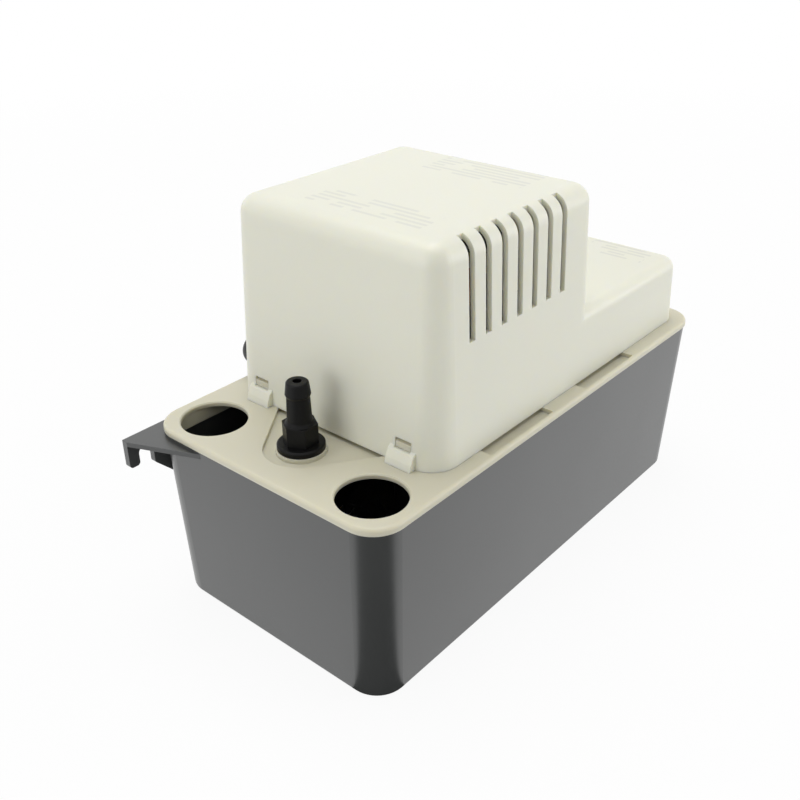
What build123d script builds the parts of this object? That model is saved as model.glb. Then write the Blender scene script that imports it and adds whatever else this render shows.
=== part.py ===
from build123d import *
import os
from math import acos, cos, degrees, radians, sin, sqrt, tan

# Small condensate pump for air conditioners: a reservoir tank hung or stood beside the
# unit, a deck that closes it and carries the pump, and a cover over motor and switches.
# Frame: origin at the middle of the tank's foot, +X along the tank, away from the inlets,
# +Y towards the wall it hangs on, +Z up. All sizes in millimetres.

# ---------------------------------------------------------------- reservoir tank
TANK_LENGTH = 250.8          # outside, at the rim
TANK_WIDTH = 129.4
TANK_HEIGHT = 83.8
TANK_CORNER_R = 13.8
TANK_WALL = 2.2
TANK_FLOOR = 2.6
TANK_INSET = 2.6             # each side of the foot stands in from the rim
TANK_FOOT_ROUND = 1.6

# hanger ears on the two far corners of the tank, open downwards to drop over screws
EAR_PLATE = 3.0              # thickness against the wall
EAR_STANDOFF = 0.1           # the plate starts this far behind the tank's side
EAR_REACH = 13.5             # past the tank's end
EAR_TOP_DROP = 1.5           # top of the ear below the tank's rim
EAR_WEB = 2.2
EAR_WEB_DEPTH = 34.6         # along the tank's end, from the plate
EAR_SLOT_WIDTH = 7.4
EAR_SLOT_TOP = 76.9          # height above the foot
EAR_OUTER_LEG = 5.2
EAR_OUTER_LEG_TOE = 68.8
EAR_INNER_LEG = 10.8
EAR_INNER_LEG_TOE = 66.4     # at the slot; the toe then slants down
EAR_INNER_LEG_HEEL = 55.6
EAR_TOE_ROUND = 1.6

# ---------------------------------------------------------------- deck
DECK_OVERHANG = 0.6
DECK_RIM = 3.1
DECK_PLATE = 2.2
DECK_EDGE_ROUND = 1.5
SKIRT_DEPTH = 6.0
SKIRT_WALL = 1.8
SKIRT_CLEARANCE = 0.35
INLET_R = 14.4               # 1-1/8 inch drain inlets
INLET_FROM_END = 18.8        # inlet's axis to the tank's end and side, at the rim
INLET_FROM_SIDE = 19.3
INLET_CHAMFER = 0.6
VALVE_FROM_END = 26.4
VALVE_HOLE_R = 7.2
WELL_DEPTH = 1.8
WELL_NOSE_R = 15.9
WELL_HALF_WIDTH = 34.0       # where it runs under the cover
POCKET_DEPTH = 2.0
POCKET_FROM_SIDE = 1.2
POCKET_WIDTH = 9.5
POCKET_STARTS = (28.0, 100.8)    # from the cover's front
POCKET_LENGTHS = (46.0, 43.7)
RIB_HEIGHT = 3.0             # locating rib just inside the cover's lower edge
RIB_WALL = 1.6
RIB_CLEARANCE = 0.4

# ---------------------------------------------------------------- motor cover
COVER_FRONT_MARGIN = 42.4    # from the tank's rim
COVER_END_MARGIN = 8.4
COVER_SIDE_MARGIN = 6.7
COVER_WALL = 2.3
COVER_DRAFT = 2.6            # degrees
HOUSING_LENGTH = 116.0
HOUSING_HEIGHT = 90.9
HOUSING_CORNER_R = 12.5
HOUSING_TOP_ROUND = 8.4
BOX_HEIGHT = 33.6
BOX_CORNER_R = 9.0
BOX_TOP_ROUND = 6.0
STEP_BLEND = 3.6             # hollow round between the housing's back and the box
STEP_BLEND_TURN = 26.0       # degrees that it runs round each corner
SLOT_COUNT = 7
SLOT_PITCH = 10.54
SLOT_WIDTH = 3.8
SLOTS_OFFSET = -2.8          # middle of the row from the housing's middle
SLOT_FOOT = 49.7             # above the deck
SLOT_REACH = 9.8             # in from the side at the deck, where a slot ends on top
CATCH_Y = 40.5
CATCH_WIDTH = 8.2
CATCH_SILL = 6.6             # window's lower edge above the deck
CATCH_HEIGHT = 4.6
CATCH_GAP = 0.9
CATCH_PAD_WIDTH = 13.0
CATCH_PAD_PROUD = 3.4
CATCH_PAD_HEIGHT = 7.4
CATCH_TONGUE = 2.4
CATCH_CLEARANCE = 0.2
CATCH_FACE = 2.8             # upright face of the tongue's wedge

# ---------------------------------------------------------------- cord gland
GLAND_X = -63.0
GLAND_HEIGHT = 10.4          # of its axis above the deck
GLAND_HEAD_R = 7.6
GLAND_HEAD_LENGTH = 12.0
GLAND_STEM_R = 5.6
GLAND_BORE_R = 3.4           # round the cord
GLAND_GRIP = 10.5            # length of that bore, from the head's end
GLAND_RELIEF_R = 4.3         # wider bore behind it, through the wall
GLAND_NUT_R = 7.8
GLAND_NUT_LENGTH = 4.0
GLAND_FIT = 0.15

# ---------------------------------------------------------------- check valve
VALVE_FLANGE_R = 10.0
VALVE_FLANGE_TOP = 2.6       # above the deck
VALVE_BOSS_R = 10.6          # raised seat in the well, level with the deck
VALVE_FLANGE_CHAMFER = 0.6
VALVE_HEX_R = 7.6            # across corners
VALVE_HEX_TOP = 11.6
VALVE_SHOULDER_TOP = 12.8    # cone between hexagon and spigot
VALVE_SHOULDER_R = 6.2
VALVE_TIP = 30.4
SPIGOT_R = 5.2
SPIGOT_NECK_R = 4.8          # under the barb
BARB_R = 5.3
BARB_LENGTH = 5.6
BARB_TIP_R = 4.6
BARB_TIP_ROUND = 1.0
BARB_UNDERCUT = 1.2
SPIGOT_BORE_R = 1.9
VALVE_CHAMBER_TOP = 10.0
VALVE_SEAT_BORE_R = 3.4
VALVE_CHAMBER_R = 5.6
VALVE_STEM_R = 6.4           # tail through the deck
VALVE_TAIL_DROP = 16.0       # tail below the deck's top
O_RING_WIRE = 0.9
POPPET_R = 4.6
POPPET_HEAD = 1.8
POPPET_STEM_R = 2.9
POPPET_STEM = 6.0
POPPET_LIFT = 2.5
SPRING_WIRE = 0.35
SPRING_R = 2.6
SPRING_TURNS = 3

# ---------------------------------------------------------------- pump
SHAFT_R = 3.0
RUNNING_FIT = 0.05
PUSH_FIT = 0.02
PUMP_FLOOR_GAP = 4.0
INLET_PLATE = 2.4
INLET_EYE_R = 7.5
VOLUTE_DEPTH = 9.0
VOLUTE_WALL = 2.5
VOLUTE_START_R = 21.5
VOLUTE_GROWTH = 8.0
VOLUTE_EYE_R = 5.0
NOZZLE_R = 6.0
NOZZLE_BORE_R = 4.0
NOZZLE_START = 14.0
NOZZLE_END = 36.0
IMPELLER_R = 20.0
IMPELLER_DISC = 1.8
IMPELLER_GAP = 0.6
IMPELLER_HUB_R = 5.0
VANE_COUNT = 6
VANE_WALL = 1.4
VANE_CURVE_R = 14.0
COLUMN_R = 11.0
COLUMN_WALL = 2.2
COLUMN_FLANGE_R = 19.0
COLUMN_FLANGE = 3.0
COLUMN_WINDOW_WIDTH = 8.0
COLUMN_WINDOW_HEIGHT = 40.0
COLUMN_SCREWS = 3
COLUMN_SCREW_CIRCLE = 15.0
TUBE_WALL = 1.8
TUBE_FIT = 0.1
TUBE_BEND_R = 15.0
TUBE_OVERLAP = 12.0
CLAMP_WALL = 0.8
CLAMP_WIDTH = 6.0

# ---------------------------------------------------------------- motor
POST_R = 4.2
POST_HEIGHT = 9.0
SCREW_INSET = 6.0            # long screws from the stack's sides
SHAFT_HOLE_R = 6.0
SHAFT_COLLAR = 3.0
STATOR_SIZE = 70.0
STATOR_CORNER_R = 7.0
STATOR_STACK = 22.0
STATOR_BORE_R = 18.0
AIR_GAP = 0.4
ENDBELL_HEIGHT = 14.0
ENDBELL_PLATE = 3.0
ENDBELL_LEG = 8.0
ENDBELL_HUB_R = 9.0
ENDBELL_HUB_LENGTH = 8.0
BEARING_R = 5.6
BEARING_LENGTH = 8.0
WINDING_R = 28.0
WINDING_HEAD = 8.0
WINDING_CHAMFER = 2.5
SCREW_R = 1.9
SCREW_HEAD_R = 3.6
SCREW_HEAD = 2.4
SLINGER_R = 9.5
FAN_R = 36.0
FAN_HUB_R = 8.0
FAN_HEIGHT = 11.0
FAN_BLADES = 6
FAN_BLADE_WALL = 1.3
FAN_BLADE_ANGLE = 28.0
FAN_GAP = 2.0

# ---------------------------------------------------------------- float and switches
PIVOT_SETBACK = 7.0          # before the housing's back wall
PIVOT_Z = 58.0
PIVOT_PIN_R = 1.5
EAR_GAP = 0.5
PIVOT_EAR = 3.0
PIVOT_EAR_R = 5.0
ARM_WIDTH = 8.0
ARM_THICKNESS = 3.0
ARM_HUB_R = 4.2
ARM_LENGTH = 34.0
ARM_FOOT = 24.0
FLOAT_SCREW_X = 14.0         # from the heel of the arm's foot
FLOAT_LENGTH = 46.0
FLOAT_WIDTH = 56.0
FLOAT_HEIGHT = 22.0
FLOAT_DROP = 9.0             # float's top below the pivot
FLOAT_ROUND = 5.0
ROD_OFFSET = 12.0            # push rod from the pivot
ROD_R = 2.0
ROD_GAP = 0.3
ROD_BAR_R = 1.5
ROD_BAR_LENGTH = 19.0
GUIDE_HEIGHT = 2.6
GUIDE_WALL = 2.0
SWITCH_LENGTH = 27.8
SWITCH_HEIGHT = 15.9
SWITCH_WIDTH = 10.3
SWITCH_GAP = 0.4
SWITCH_FOOT = 14.6           # above the deck
LEVER_ARM = 17.0             # lever pivot to push rod
LEVER_LENGTH = 23.0
LEVER_THICKNESS = 0.8
LEVER_WIDTH = 5.0
LEVER_PIN_R = 0.8
LEVER_REST_ANGLE = 20.0
LEVER_LUG = 1.5
BRACKET_WALL = 1.6
BRACKET_FLANGE = 13.0
SWITCH_SCREW_R = 1.4
SWITCH_SCREW_HEAD_R = 2.6
SWITCH_SCREW_HEAD = 1.6
SWITCH_SCREW_SPACING = 22.0

# ---------------------------------------------------------------- places worked out from the above
TANK_END_X = TANK_LENGTH / 2
INLET_X = INLET_FROM_END - TANK_END_X
INLET_Y = TANK_WIDTH / 2 - INLET_FROM_SIDE
VALVE_X = VALVE_FROM_END - TANK_END_X
COVER_FRONT_X = COVER_FRONT_MARGIN - TANK_END_X
COVER_LENGTH = TANK_LENGTH - COVER_FRONT_MARGIN - COVER_END_MARGIN
COVER_WIDTH = TANK_WIDTH - 2 * COVER_SIDE_MARGIN
MOTOR_X = COVER_FRONT_X + HOUSING_LENGTH / 2
PIVOT_X = COVER_FRONT_X + HOUSING_LENGTH - PIVOT_SETBACK
POCKET_OUTER_Y = TANK_WIDTH / 2 - POCKET_FROM_SIDE
POCKETS_X = [(COVER_FRONT_X + start, COVER_FRONT_X + start + length)
             for start, length in zip(POCKET_STARTS, POCKET_LENGTHS)]
SLOT_FIRST_X = MOTOR_X + SLOTS_OFFSET - (SLOT_COUNT - 1) / 2 * SLOT_PITCH
POST_SPACING = STATOR_SIZE - 2 * SCREW_INSET
DECK_TOP = TANK_HEIGHT + DECK_RIM
DECK_UNDER = DECK_TOP - DECK_PLATE
COVER_HALF = COVER_WIDTH / 2
COVER_DRAFT_SLOPE = tan(radians(COVER_DRAFT))
PUMP_BASE = TANK_FLOOR + PUMP_FLOOR_GAP
VOLUTE_FLOOR = PUMP_BASE + INLET_PLATE
VOLUTE_ROOF = VOLUTE_FLOOR + VOLUTE_DEPTH
VOLUTE_TOP = VOLUTE_ROOF + VOLUTE_WALL
NOZZLE_Z = VOLUTE_FLOOR + VOLUTE_DEPTH / 2
NOZZLE_OFFSET = VOLUTE_START_R + VOLUTE_GROWTH / 2
MOTOR_BASE = DECK_TOP + POST_HEIGHT
STATOR_BASE = MOTOR_BASE + ENDBELL_HEIGHT
STATOR_TOP = STATOR_BASE + STATOR_STACK
MOTOR_TOP = STATOR_TOP + ENDBELL_HEIGHT
FAN_BASE = MOTOR_TOP + ENDBELL_HUB_LENGTH - ENDBELL_PLATE + FAN_GAP
SWITCH_BASE = DECK_TOP + SWITCH_FOOT
LEVER_PIVOT_X = PIVOT_X + ROD_OFFSET - LEVER_ARM
LEVER_PIVOT_Z = SWITCH_BASE - LEVER_LUG
ROD_X = PIVOT_X + ROD_OFFSET
ROD_BAR_Z = (LEVER_PIVOT_Z - LEVER_ARM * tan(radians(LEVER_REST_ANGLE))
             - (ROD_BAR_R + ROD_GAP) / cos(radians(LEVER_REST_ANGLE)))

BASE = (Align.CENTER, Align.CENTER, Align.MIN)
FROM_CENTRE = (Align.MIN, Align.CENTER, Align.MIN)


# ---------------------------------------------------------------- helpers
def disc(radius, height, x=0.0, y=0.0, z=0.0):
    """Upright cylinder standing at z."""
    return Pos(x, y, z) * Cylinder(radius, height, align=BASE)


def ring(outer, inner, height, x=0.0, y=0.0, z=0.0):
    """Upright tube standing at z."""
    return disc(outer, height, x, y, z) - disc(inner, height, x, y, z)


def block(x_range, y_range, z_range):
    """Box from its six limits."""
    size = [high - low for low, high in (x_range, y_range, z_range)]
    middle = [(high + low) / 2 for low, high in (x_range, y_range, z_range)]
    return Pos(*middle) * Box(*size)


def cross_pin(radius, length, x, z, y=0.0):
    """Cylinder lying along Y."""
    return Pos(x, y, z) * Rot(90, 0, 0) * Cylinder(radius, length)


def along_y(outline, width, y=0.0):
    """Outline drawn in X and Z, thickened to both sides of a plane at y."""
    return Pos(0, y, 0) * extrude(Plane.XZ * outline, width / 2, both=True)


def group(shapes):
    """Separate pieces that share one node."""
    return Compound(children=list(shapes))


def screw(length, radius=SCREW_R, head_r=SCREW_HEAD_R, head=SCREW_HEAD):
    """Cheese-head screw pointing down, underside of its head at z = 0."""
    return disc(head_r, head) + disc(radius, length, z=-length)


def tank_outline(z, inward):
    """Rounded rectangle of the drafted tank at height z, set in by a wall."""
    draft = TANK_INSET * (1 - z / TANK_HEIGHT)
    length = TANK_LENGTH - 2 * (draft + inward)
    width = TANK_WIDTH - 2 * (draft + inward)
    return Pos(0, 0, z) * RectangleRounded(length, width, TANK_CORNER_R - inward)


def tank_form(z_low, z_high, inward):
    """Solid between two heights of the drafted tank."""
    return loft([tank_outline(z_low, inward), tank_outline(z_high, inward)])


def at_motor(shape):
    return Pos(MOTOR_X, 0, 0) * shape


# ---------------------------------------------------------------- tank
def hanger_ear():
    """Ear at the inlet end: wall plate with a drop-on slot, under a sloping web."""
    side = TANK_WIDTH / 2 + EAR_STANDOFF
    tank_end = -TANK_LENGTH / 2
    outer = tank_end - EAR_REACH
    slot_left = outer + EAR_OUTER_LEG
    slot_right = slot_left + EAR_SLOT_WIDTH
    inner = slot_right + EAR_INNER_LEG
    top = TANK_HEIGHT - EAR_TOP_DROP
    outline = Polygon(
        (outer, top), (outer, EAR_OUTER_LEG_TOE), (slot_left, EAR_OUTER_LEG_TOE),
        (slot_left, EAR_SLOT_TOP), (slot_right, EAR_SLOT_TOP), (slot_right, EAR_INNER_LEG_TOE),
        (inner, EAR_INNER_LEG_HEEL), (inner, top), align=None)
    outline = fillet(outline.vertices().sort_by(Axis.Y)[0:4], EAR_TOE_ROUND)
    slot_roof = [v for v in outline.vertices() if abs(v.Y - EAR_SLOT_TOP) < 0.01]
    outline = fillet(slot_roof, EAR_SLOT_WIDTH * 0.4)
    plate = along_y(outline, EAR_PLATE, side + EAR_PLATE / 2)
    web_end = side - EAR_WEB_DEPTH + EAR_PLATE
    web = Polygon(
        (outer, side + EAR_PLATE), (outer, side), (tank_end, web_end),
        (tank_end + TANK_CORNER_R, web_end), (tank_end + TANK_CORNER_R, side + EAR_PLATE),
        align=None)
    return plate + Pos(0, 0, top - EAR_WEB) * extrude(web, EAR_WEB)


def make_tank():
    shell = tank_form(0, TANK_HEIGHT, 0)
    foot = shell.faces().sort_by(Axis.Z)[0]
    shell = fillet(foot.edges(), TANK_FOOT_ROUND)
    ear = hanger_ear()
    shell = shell + ear + mirror(ear, Plane.YZ)
    return shell - tank_form(TANK_FLOOR, TANK_HEIGHT + 1, TANK_WALL)


# ---------------------------------------------------------------- cover
def cover_form(inset):
    """Tall housing and low box in one drafted form, all faces set in by a wall."""
    front = COVER_FRONT_X + inset
    half = COVER_HALF - inset
    housing_length = HOUSING_LENGTH - 2 * inset
    housing_height = HOUSING_HEIGHT - inset
    base = Pos(front + housing_length / 2, 0, DECK_TOP) * RectangleRounded(
        housing_length, 2 * half, HOUSING_CORNER_R - inset)
    housing = extrude(base, housing_height, taper=COVER_DRAFT)
    housing = fillet(housing.faces().sort_by(Axis.Z)[-1].edges(), HOUSING_TOP_ROUND - inset)
    box_start = front + housing_length / 2
    box_length = COVER_FRONT_X + COVER_LENGTH - inset - box_start
    base = Pos(box_start + box_length / 2, 0, DECK_TOP) * RectangleRounded(
        box_length, 2 * half, BOX_CORNER_R - inset)
    box = extrude(base, BOX_HEIGHT - inset, taper=COVER_DRAFT)
    box = fillet(box.faces().sort_by(Axis.Z)[-1].edges(), BOX_TOP_ROUND - inset)
    return housing + box


def vent_slot(index, side):
    """Slot up one side and over the top edge."""
    x = SLOT_FIRST_X + index * SLOT_PITCH
    low = DECK_TOP + SLOT_FOOT
    high = DECK_TOP + HOUSING_HEIGHT + 1
    near, far = COVER_HALF - SLOT_REACH, COVER_HALF + 1
    reach = (near, far) if side > 0 else (-far, -near)
    return block((x - SLOT_WIDTH / 2, x + SLOT_WIDTH / 2), reach, (low, high))


def catch_pad(y):
    """Thickened strip under a catch window, its top sloping back to the wall."""
    lean = CATCH_PAD_HEIGHT * COVER_DRAFT_SLOPE
    inner = COVER_FRONT_X + COVER_WALL
    outline = Polygon(
        (inner, DECK_TOP), (COVER_FRONT_X - CATCH_PAD_PROUD, DECK_TOP),
        (COVER_FRONT_X - CATCH_PAD_PROUD * 0.8, DECK_TOP + CATCH_PAD_HEIGHT * 0.4),
        (COVER_FRONT_X - CATCH_PAD_PROUD * 0.4, DECK_TOP + CATCH_PAD_HEIGHT * 0.8),
        (COVER_FRONT_X + lean, DECK_TOP + CATCH_PAD_HEIGHT),
        (inner, DECK_TOP + CATCH_PAD_HEIGHT), align=None)
    return along_y(outline, CATCH_PAD_WIDTH, y)


def catch_window(y):
    low = DECK_TOP + CATCH_SILL
    return block((COVER_FRONT_X - CATCH_PAD_PROUD - 1, COVER_FRONT_X + 2 * COVER_WALL),
                 (y - CATCH_WIDTH / 2, y + CATCH_WIDTH / 2), (low, low + CATCH_HEIGHT))


def gland_frame():
    """Plane on the cover's far wall at the gland, Z pointing out of the wall."""
    y = COVER_HALF - GLAND_HEIGHT * COVER_DRAFT_SLOPE
    slope = radians(COVER_DRAFT)
    return Plane(origin=(GLAND_X, y, DECK_TOP + GLAND_HEIGHT), x_dir=(1, 0, 0),
                 z_dir=(0, cos(slope), sin(slope)))


def step_blend():
    """Hollow round where the housing's back wall meets the box's top, run into both corners."""
    foot = DECK_TOP + BOX_HEIGHT
    wall = COVER_FRONT_X + HOUSING_LENGTH - BOX_HEIGHT * COVER_DRAFT_SLOPE
    inside = COVER_WALL / 2
    heel = (wall + STEP_BLEND, foot)
    crest = (wall - STEP_BLEND * COVER_DRAFT_SLOPE, foot + STEP_BLEND)
    middle = STEP_BLEND * (1 - sqrt(0.5))
    outline = make_face([
        Polyline(heel, (heel[0], foot - inside), (wall - inside, foot - inside),
                 (wall - inside, crest[1]), crest),
        ThreePointArc(crest, (wall + middle, foot + middle), heel)])
    corner_x = COVER_FRONT_X + HOUSING_LENGTH - HOUSING_CORNER_R
    corner_y = COVER_HALF - HOUSING_CORNER_R
    blend = along_y(outline, 2 * corner_y)
    for side in (-1, 1):
        end = Pos(0, side * corner_y, 0) * (Plane.XZ * outline)
        axis = Axis((corner_x, side * corner_y, 0), (0, 0, 1))
        blend += revolve(end, axis, side * STEP_BLEND_TURN)
    return blend


def make_motor_cover():
    cover = cover_form(0) + step_blend()
    for y in (-CATCH_Y, CATCH_Y):
        cover += catch_pad(y)
    cover -= cover_form(COVER_WALL)
    for y in (-CATCH_Y, CATCH_Y):
        cover -= catch_window(y)
    for side in (-1, 1):
        for index in range(SLOT_COUNT):
            cover -= vent_slot(index, side)
    hole = Cylinder(GLAND_STEM_R + GLAND_FIT, 6 * COVER_WALL)
    return cover - gland_frame() * hole


def make_cord_gland():
    """Screwed strain relief: domed head outside the wall, threaded stem through it."""
    head = fillet(disc(GLAND_HEAD_R, GLAND_HEAD_LENGTH).edges().sort_by(Axis.Z)[-1],
                  GLAND_HEAD_LENGTH * 0.4)
    stem_length = COVER_WALL + GLAND_NUT_LENGTH + 2
    gland = head + disc(GLAND_STEM_R, stem_length, z=-stem_length)
    grip = GLAND_HEAD_LENGTH - GLAND_GRIP
    gland -= disc(GLAND_BORE_R, GLAND_GRIP + 1, z=grip)
    gland -= disc(GLAND_RELIEF_R, stem_length + grip, z=-stem_length)
    return gland_frame() * gland


def make_gland_nut():
    nut = extrude(RegularPolygon(GLAND_NUT_R, 6), GLAND_NUT_LENGTH)
    nut -= Cylinder(GLAND_STEM_R + PUSH_FIT, 4 * GLAND_NUT_LENGTH)
    return gland_frame() * Pos(0, 0, -COVER_WALL - GLAND_NUT_LENGTH) * nut


# ---------------------------------------------------------------- deck
def well_outline(grow):
    """Round nose about the valve, widening to the cover's front wall."""
    nose = Pos(VALVE_X, 0) * Circle(WELL_NOSE_R + grow)
    inner_x = COVER_FRONT_X + 2 * COVER_WALL + grow
    back = Line((inner_x, WELL_HALF_WIDTH + grow), (inner_x, -WELL_HALF_WIDTH - grow))
    return make_hull(nose.edges() + back.edges())


def side_pocket(x_range, side, outer, depth):
    low = POCKET_OUTER_Y - POCKET_WIDTH
    y_range = (low, outer) if side > 0 else (-outer, -low)
    return block(x_range, y_range, (DECK_TOP - depth, DECK_TOP))


def catch_tongue(y):
    """Springy tongue behind the cover's wall with a wedge that fills the window."""
    half = CATCH_WIDTH / 2 - CATCH_CLEARANCE
    lean = (CATCH_SILL + CATCH_HEIGHT) * COVER_DRAFT_SLOPE
    back = COVER_FRONT_X + COVER_WALL + lean + CATCH_CLEARANCE
    sill = DECK_TOP + CATCH_SILL + CATCH_CLEARANCE
    crest = DECK_TOP + CATCH_SILL + CATCH_HEIGHT - CATCH_GAP
    nose = COVER_FRONT_X + lean
    outline = Polygon(
        (back, DECK_TOP), (back, sill), (nose, sill), (nose, sill + CATCH_FACE),
        (back, crest), (back + CATCH_TONGUE, crest), (back + CATCH_TONGUE, DECK_TOP), align=None)
    return along_y(outline, 2 * half, y)


def make_deck():
    length = TANK_LENGTH + 2 * DECK_OVERHANG
    width = TANK_WIDTH + 2 * DECK_OVERHANG
    outline = RectangleRounded(length, width, TANK_CORNER_R + DECK_OVERHANG)
    deck = Pos(0, 0, TANK_HEIGHT) * extrude(outline, DECK_RIM)
    deck = fillet(deck.faces().sort_by(Axis.Z)[-1].edges(), DECK_EDGE_ROUND)
    inward = TANK_WALL + SKIRT_CLEARANCE
    skirt_foot = TANK_HEIGHT - SKIRT_DEPTH
    deck += tank_form(skirt_foot, TANK_HEIGHT, inward)
    deck -= tank_form(skirt_foot - 1, DECK_UNDER, inward + SKIRT_WALL)

    # dished areas keep the plate's thickness under them
    skirt_inside = TANK_WIDTH / 2 - inward - SKIRT_WALL / 2
    deck += Pos(0, 0, DECK_UNDER - WELL_DEPTH) * extrude(well_outline(DECK_PLATE), WELL_DEPTH)
    deck -= Pos(0, 0, DECK_TOP - WELL_DEPTH) * extrude(well_outline(0), WELL_DEPTH + 1)
    deck += disc(VALVE_BOSS_R, WELL_DEPTH, VALVE_X, 0, DECK_TOP - WELL_DEPTH)
    for side in (-1, 1):
        for x_range in POCKETS_X:
            deck += side_pocket(x_range, side, skirt_inside, POCKET_DEPTH + DECK_PLATE)
            deck -= side_pocket(x_range, side, POCKET_OUTER_Y, POCKET_DEPTH)

    # locating rib inside the cover's lower edge
    gap = COVER_WALL + RIB_CLEARANCE
    rib_x = COVER_FRONT_X + COVER_LENGTH / 2
    rib_outer = RectangleRounded(COVER_LENGTH - 2 * gap, COVER_WIDTH - 2 * gap,
                                 HOUSING_CORNER_R - gap)
    rib_inner = RectangleRounded(COVER_LENGTH - 2 * (gap + RIB_WALL),
                                 COVER_WIDTH - 2 * (gap + RIB_WALL),
                                 HOUSING_CORNER_R - gap - RIB_WALL)
    rib = Pos(rib_x, 0, DECK_TOP) * extrude(rib_outer - rib_inner, RIB_HEIGHT, taper=COVER_DRAFT)
    rib_span = (DECK_TOP, DECK_TOP + 2 * RIB_HEIGHT)
    keep_out = [block(x_range, (-COVER_WIDTH, COVER_WIDTH), rib_span) for x_range in POCKETS_X]
    keep_out.append(block((COVER_FRONT_X, COVER_FRONT_X + 4 * gap),
                          (-CATCH_Y - CATCH_WIDTH, CATCH_Y + CATCH_WIDTH), rib_span))
    for cutter in keep_out:
        rib -= cutter
    deck += rib
    for y in (-CATCH_Y, CATCH_Y):
        deck += catch_tongue(y)

    # what carries the motor, the float and the push rod
    half_spacing = POST_SPACING / 2
    for x in (-half_spacing, half_spacing):
        for y in (-half_spacing, half_spacing):
            deck += disc(POST_R, POST_HEIGHT, MOTOR_X + x, y, DECK_TOP)
            deck -= disc(SCREW_R, POST_HEIGHT, MOTOR_X + x, y, DECK_TOP)
    deck += disc(SHAFT_HOLE_R + DECK_PLATE, SHAFT_COLLAR, MOTOR_X, 0, DECK_TOP)
    deck += disc(ROD_R + GUIDE_WALL, GUIDE_HEIGHT, ROD_X, 0, DECK_TOP)
    hang = DECK_UNDER - PIVOT_Z
    for side in (-1, 1):
        y = side * (ARM_WIDTH / 2 + EAR_GAP + PIVOT_EAR / 2)
        ear = Pos(PIVOT_X, y, PIVOT_Z + hang / 2) * Box(2 * PIVOT_EAR_R, PIVOT_EAR, hang)
        ear += cross_pin(PIVOT_EAR_R, PIVOT_EAR, PIVOT_X, PIVOT_Z, y)
        deck += ear - cross_pin(PIVOT_PIN_R + PUSH_FIT, 2 * PIVOT_EAR, PIVOT_X, PIVOT_Z, y)

    # openings
    top = DECK_TOP + SHAFT_COLLAR
    depth = top - skirt_foot
    for y in (-INLET_Y, INLET_Y):
        deck -= disc(INLET_R, depth, INLET_X, y, skirt_foot)
    deck -= disc(VALVE_HOLE_R, depth, VALVE_X, 0, skirt_foot)
    deck -= disc(SHAFT_HOLE_R, depth, MOTOR_X, 0, skirt_foot)
    deck -= disc(ROD_R + 2 * RUNNING_FIT, depth, ROD_X, 0, skirt_foot)
    rims = [e for e in deck.edges().filter_by(GeomType.CIRCLE)
            if abs(e.radius - INLET_R) < 0.01 and abs(e.arc_center.Z - DECK_TOP) < 0.01]
    return chamfer(rims, INLET_CHAMFER)


# ---------------------------------------------------------------- check valve
def make_valve_seat():
    """Lower half of the check valve: tail through the deck, flange seated on its boss."""
    tail = DECK_TOP - VALVE_TAIL_DROP
    flange = disc(VALVE_FLANGE_R, VALVE_FLANGE_TOP, z=DECK_TOP)
    flange = chamfer(flange.edges().sort_by(Axis.Z)[-1], VALVE_FLANGE_CHAMFER)
    body = flange + disc(VALVE_STEM_R, VALVE_TAIL_DROP, z=tail)
    body -= disc(VALVE_SEAT_BORE_R, VALVE_TAIL_DROP, z=tail)
    body -= disc(VALVE_CHAMBER_R, VALVE_FLANGE_TOP + 1, z=DECK_TOP)
    return Pos(VALVE_X, 0, 0) * body


def spigot_profile():
    """Half outline of shoulder, hose spigot and barb, drawn in X and Z."""
    foot = DECK_TOP + VALVE_HEX_TOP
    shoulder = DECK_TOP + VALVE_SHOULDER_TOP
    tip = DECK_TOP + VALVE_TIP
    barb = tip - BARB_LENGTH
    outline = Polygon(
        (0, foot), (VALVE_SHOULDER_R, foot), (SPIGOT_R, shoulder),
        (SPIGOT_NECK_R, barb - BARB_UNDERCUT), (BARB_R, barb), (BARB_TIP_R, tip), (0, tip),
        align=None)
    lip = [v for v in outline.vertices() if v.Y > tip - 0.01 and v.X > BARB_TIP_R - 0.01]
    return fillet(lip, BARB_TIP_ROUND)


def make_valve_body():
    """Upper half: hexagon and barbed hose spigot with a through bore."""
    foot = DECK_TOP + VALVE_FLANGE_TOP
    hexagon = extrude(RegularPolygon(VALVE_HEX_R, 6), VALVE_HEX_TOP - VALVE_FLANGE_TOP)
    body = Pos(0, 0, foot) * hexagon
    body += revolve(Plane.XZ * spigot_profile(), Axis.Z)
    body -= disc(SPIGOT_BORE_R, VALVE_TIP, z=DECK_TOP)
    body -= disc(VALVE_CHAMBER_R, VALVE_CHAMBER_TOP - VALVE_FLANGE_TOP, z=foot)
    return Pos(VALVE_X, 0, 0) * body


def make_valve_o_ring():
    """Seal lying on the seat under the poppet."""
    centre = VALVE_CHAMBER_R - O_RING_WIRE - PUSH_FIT
    section = Pos(centre, 0) * Rot(0, 0, 22.5) * RegularPolygon(O_RING_WIRE, 8)
    return Pos(VALVE_X, 0, DECK_TOP + O_RING_WIRE) * revolve(Plane.XZ * section, Axis.Z)


def make_valve_poppet():
    seat = DECK_TOP + 2 * O_RING_WIRE
    poppet = disc(POPPET_R, POPPET_HEAD, z=seat)
    stem = disc(POPPET_STEM_R, POPPET_STEM, z=seat - POPPET_STEM)
    fins = Pos(0, 0, seat - POPPET_STEM / 2) * (
        Box(2 * POPPET_STEM_R, 1.2, POPPET_STEM) + Box(1.2, 2 * POPPET_STEM_R, POPPET_STEM))
    return Pos(VALVE_X, 0, 0) * (poppet + (stem & fins))


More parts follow.
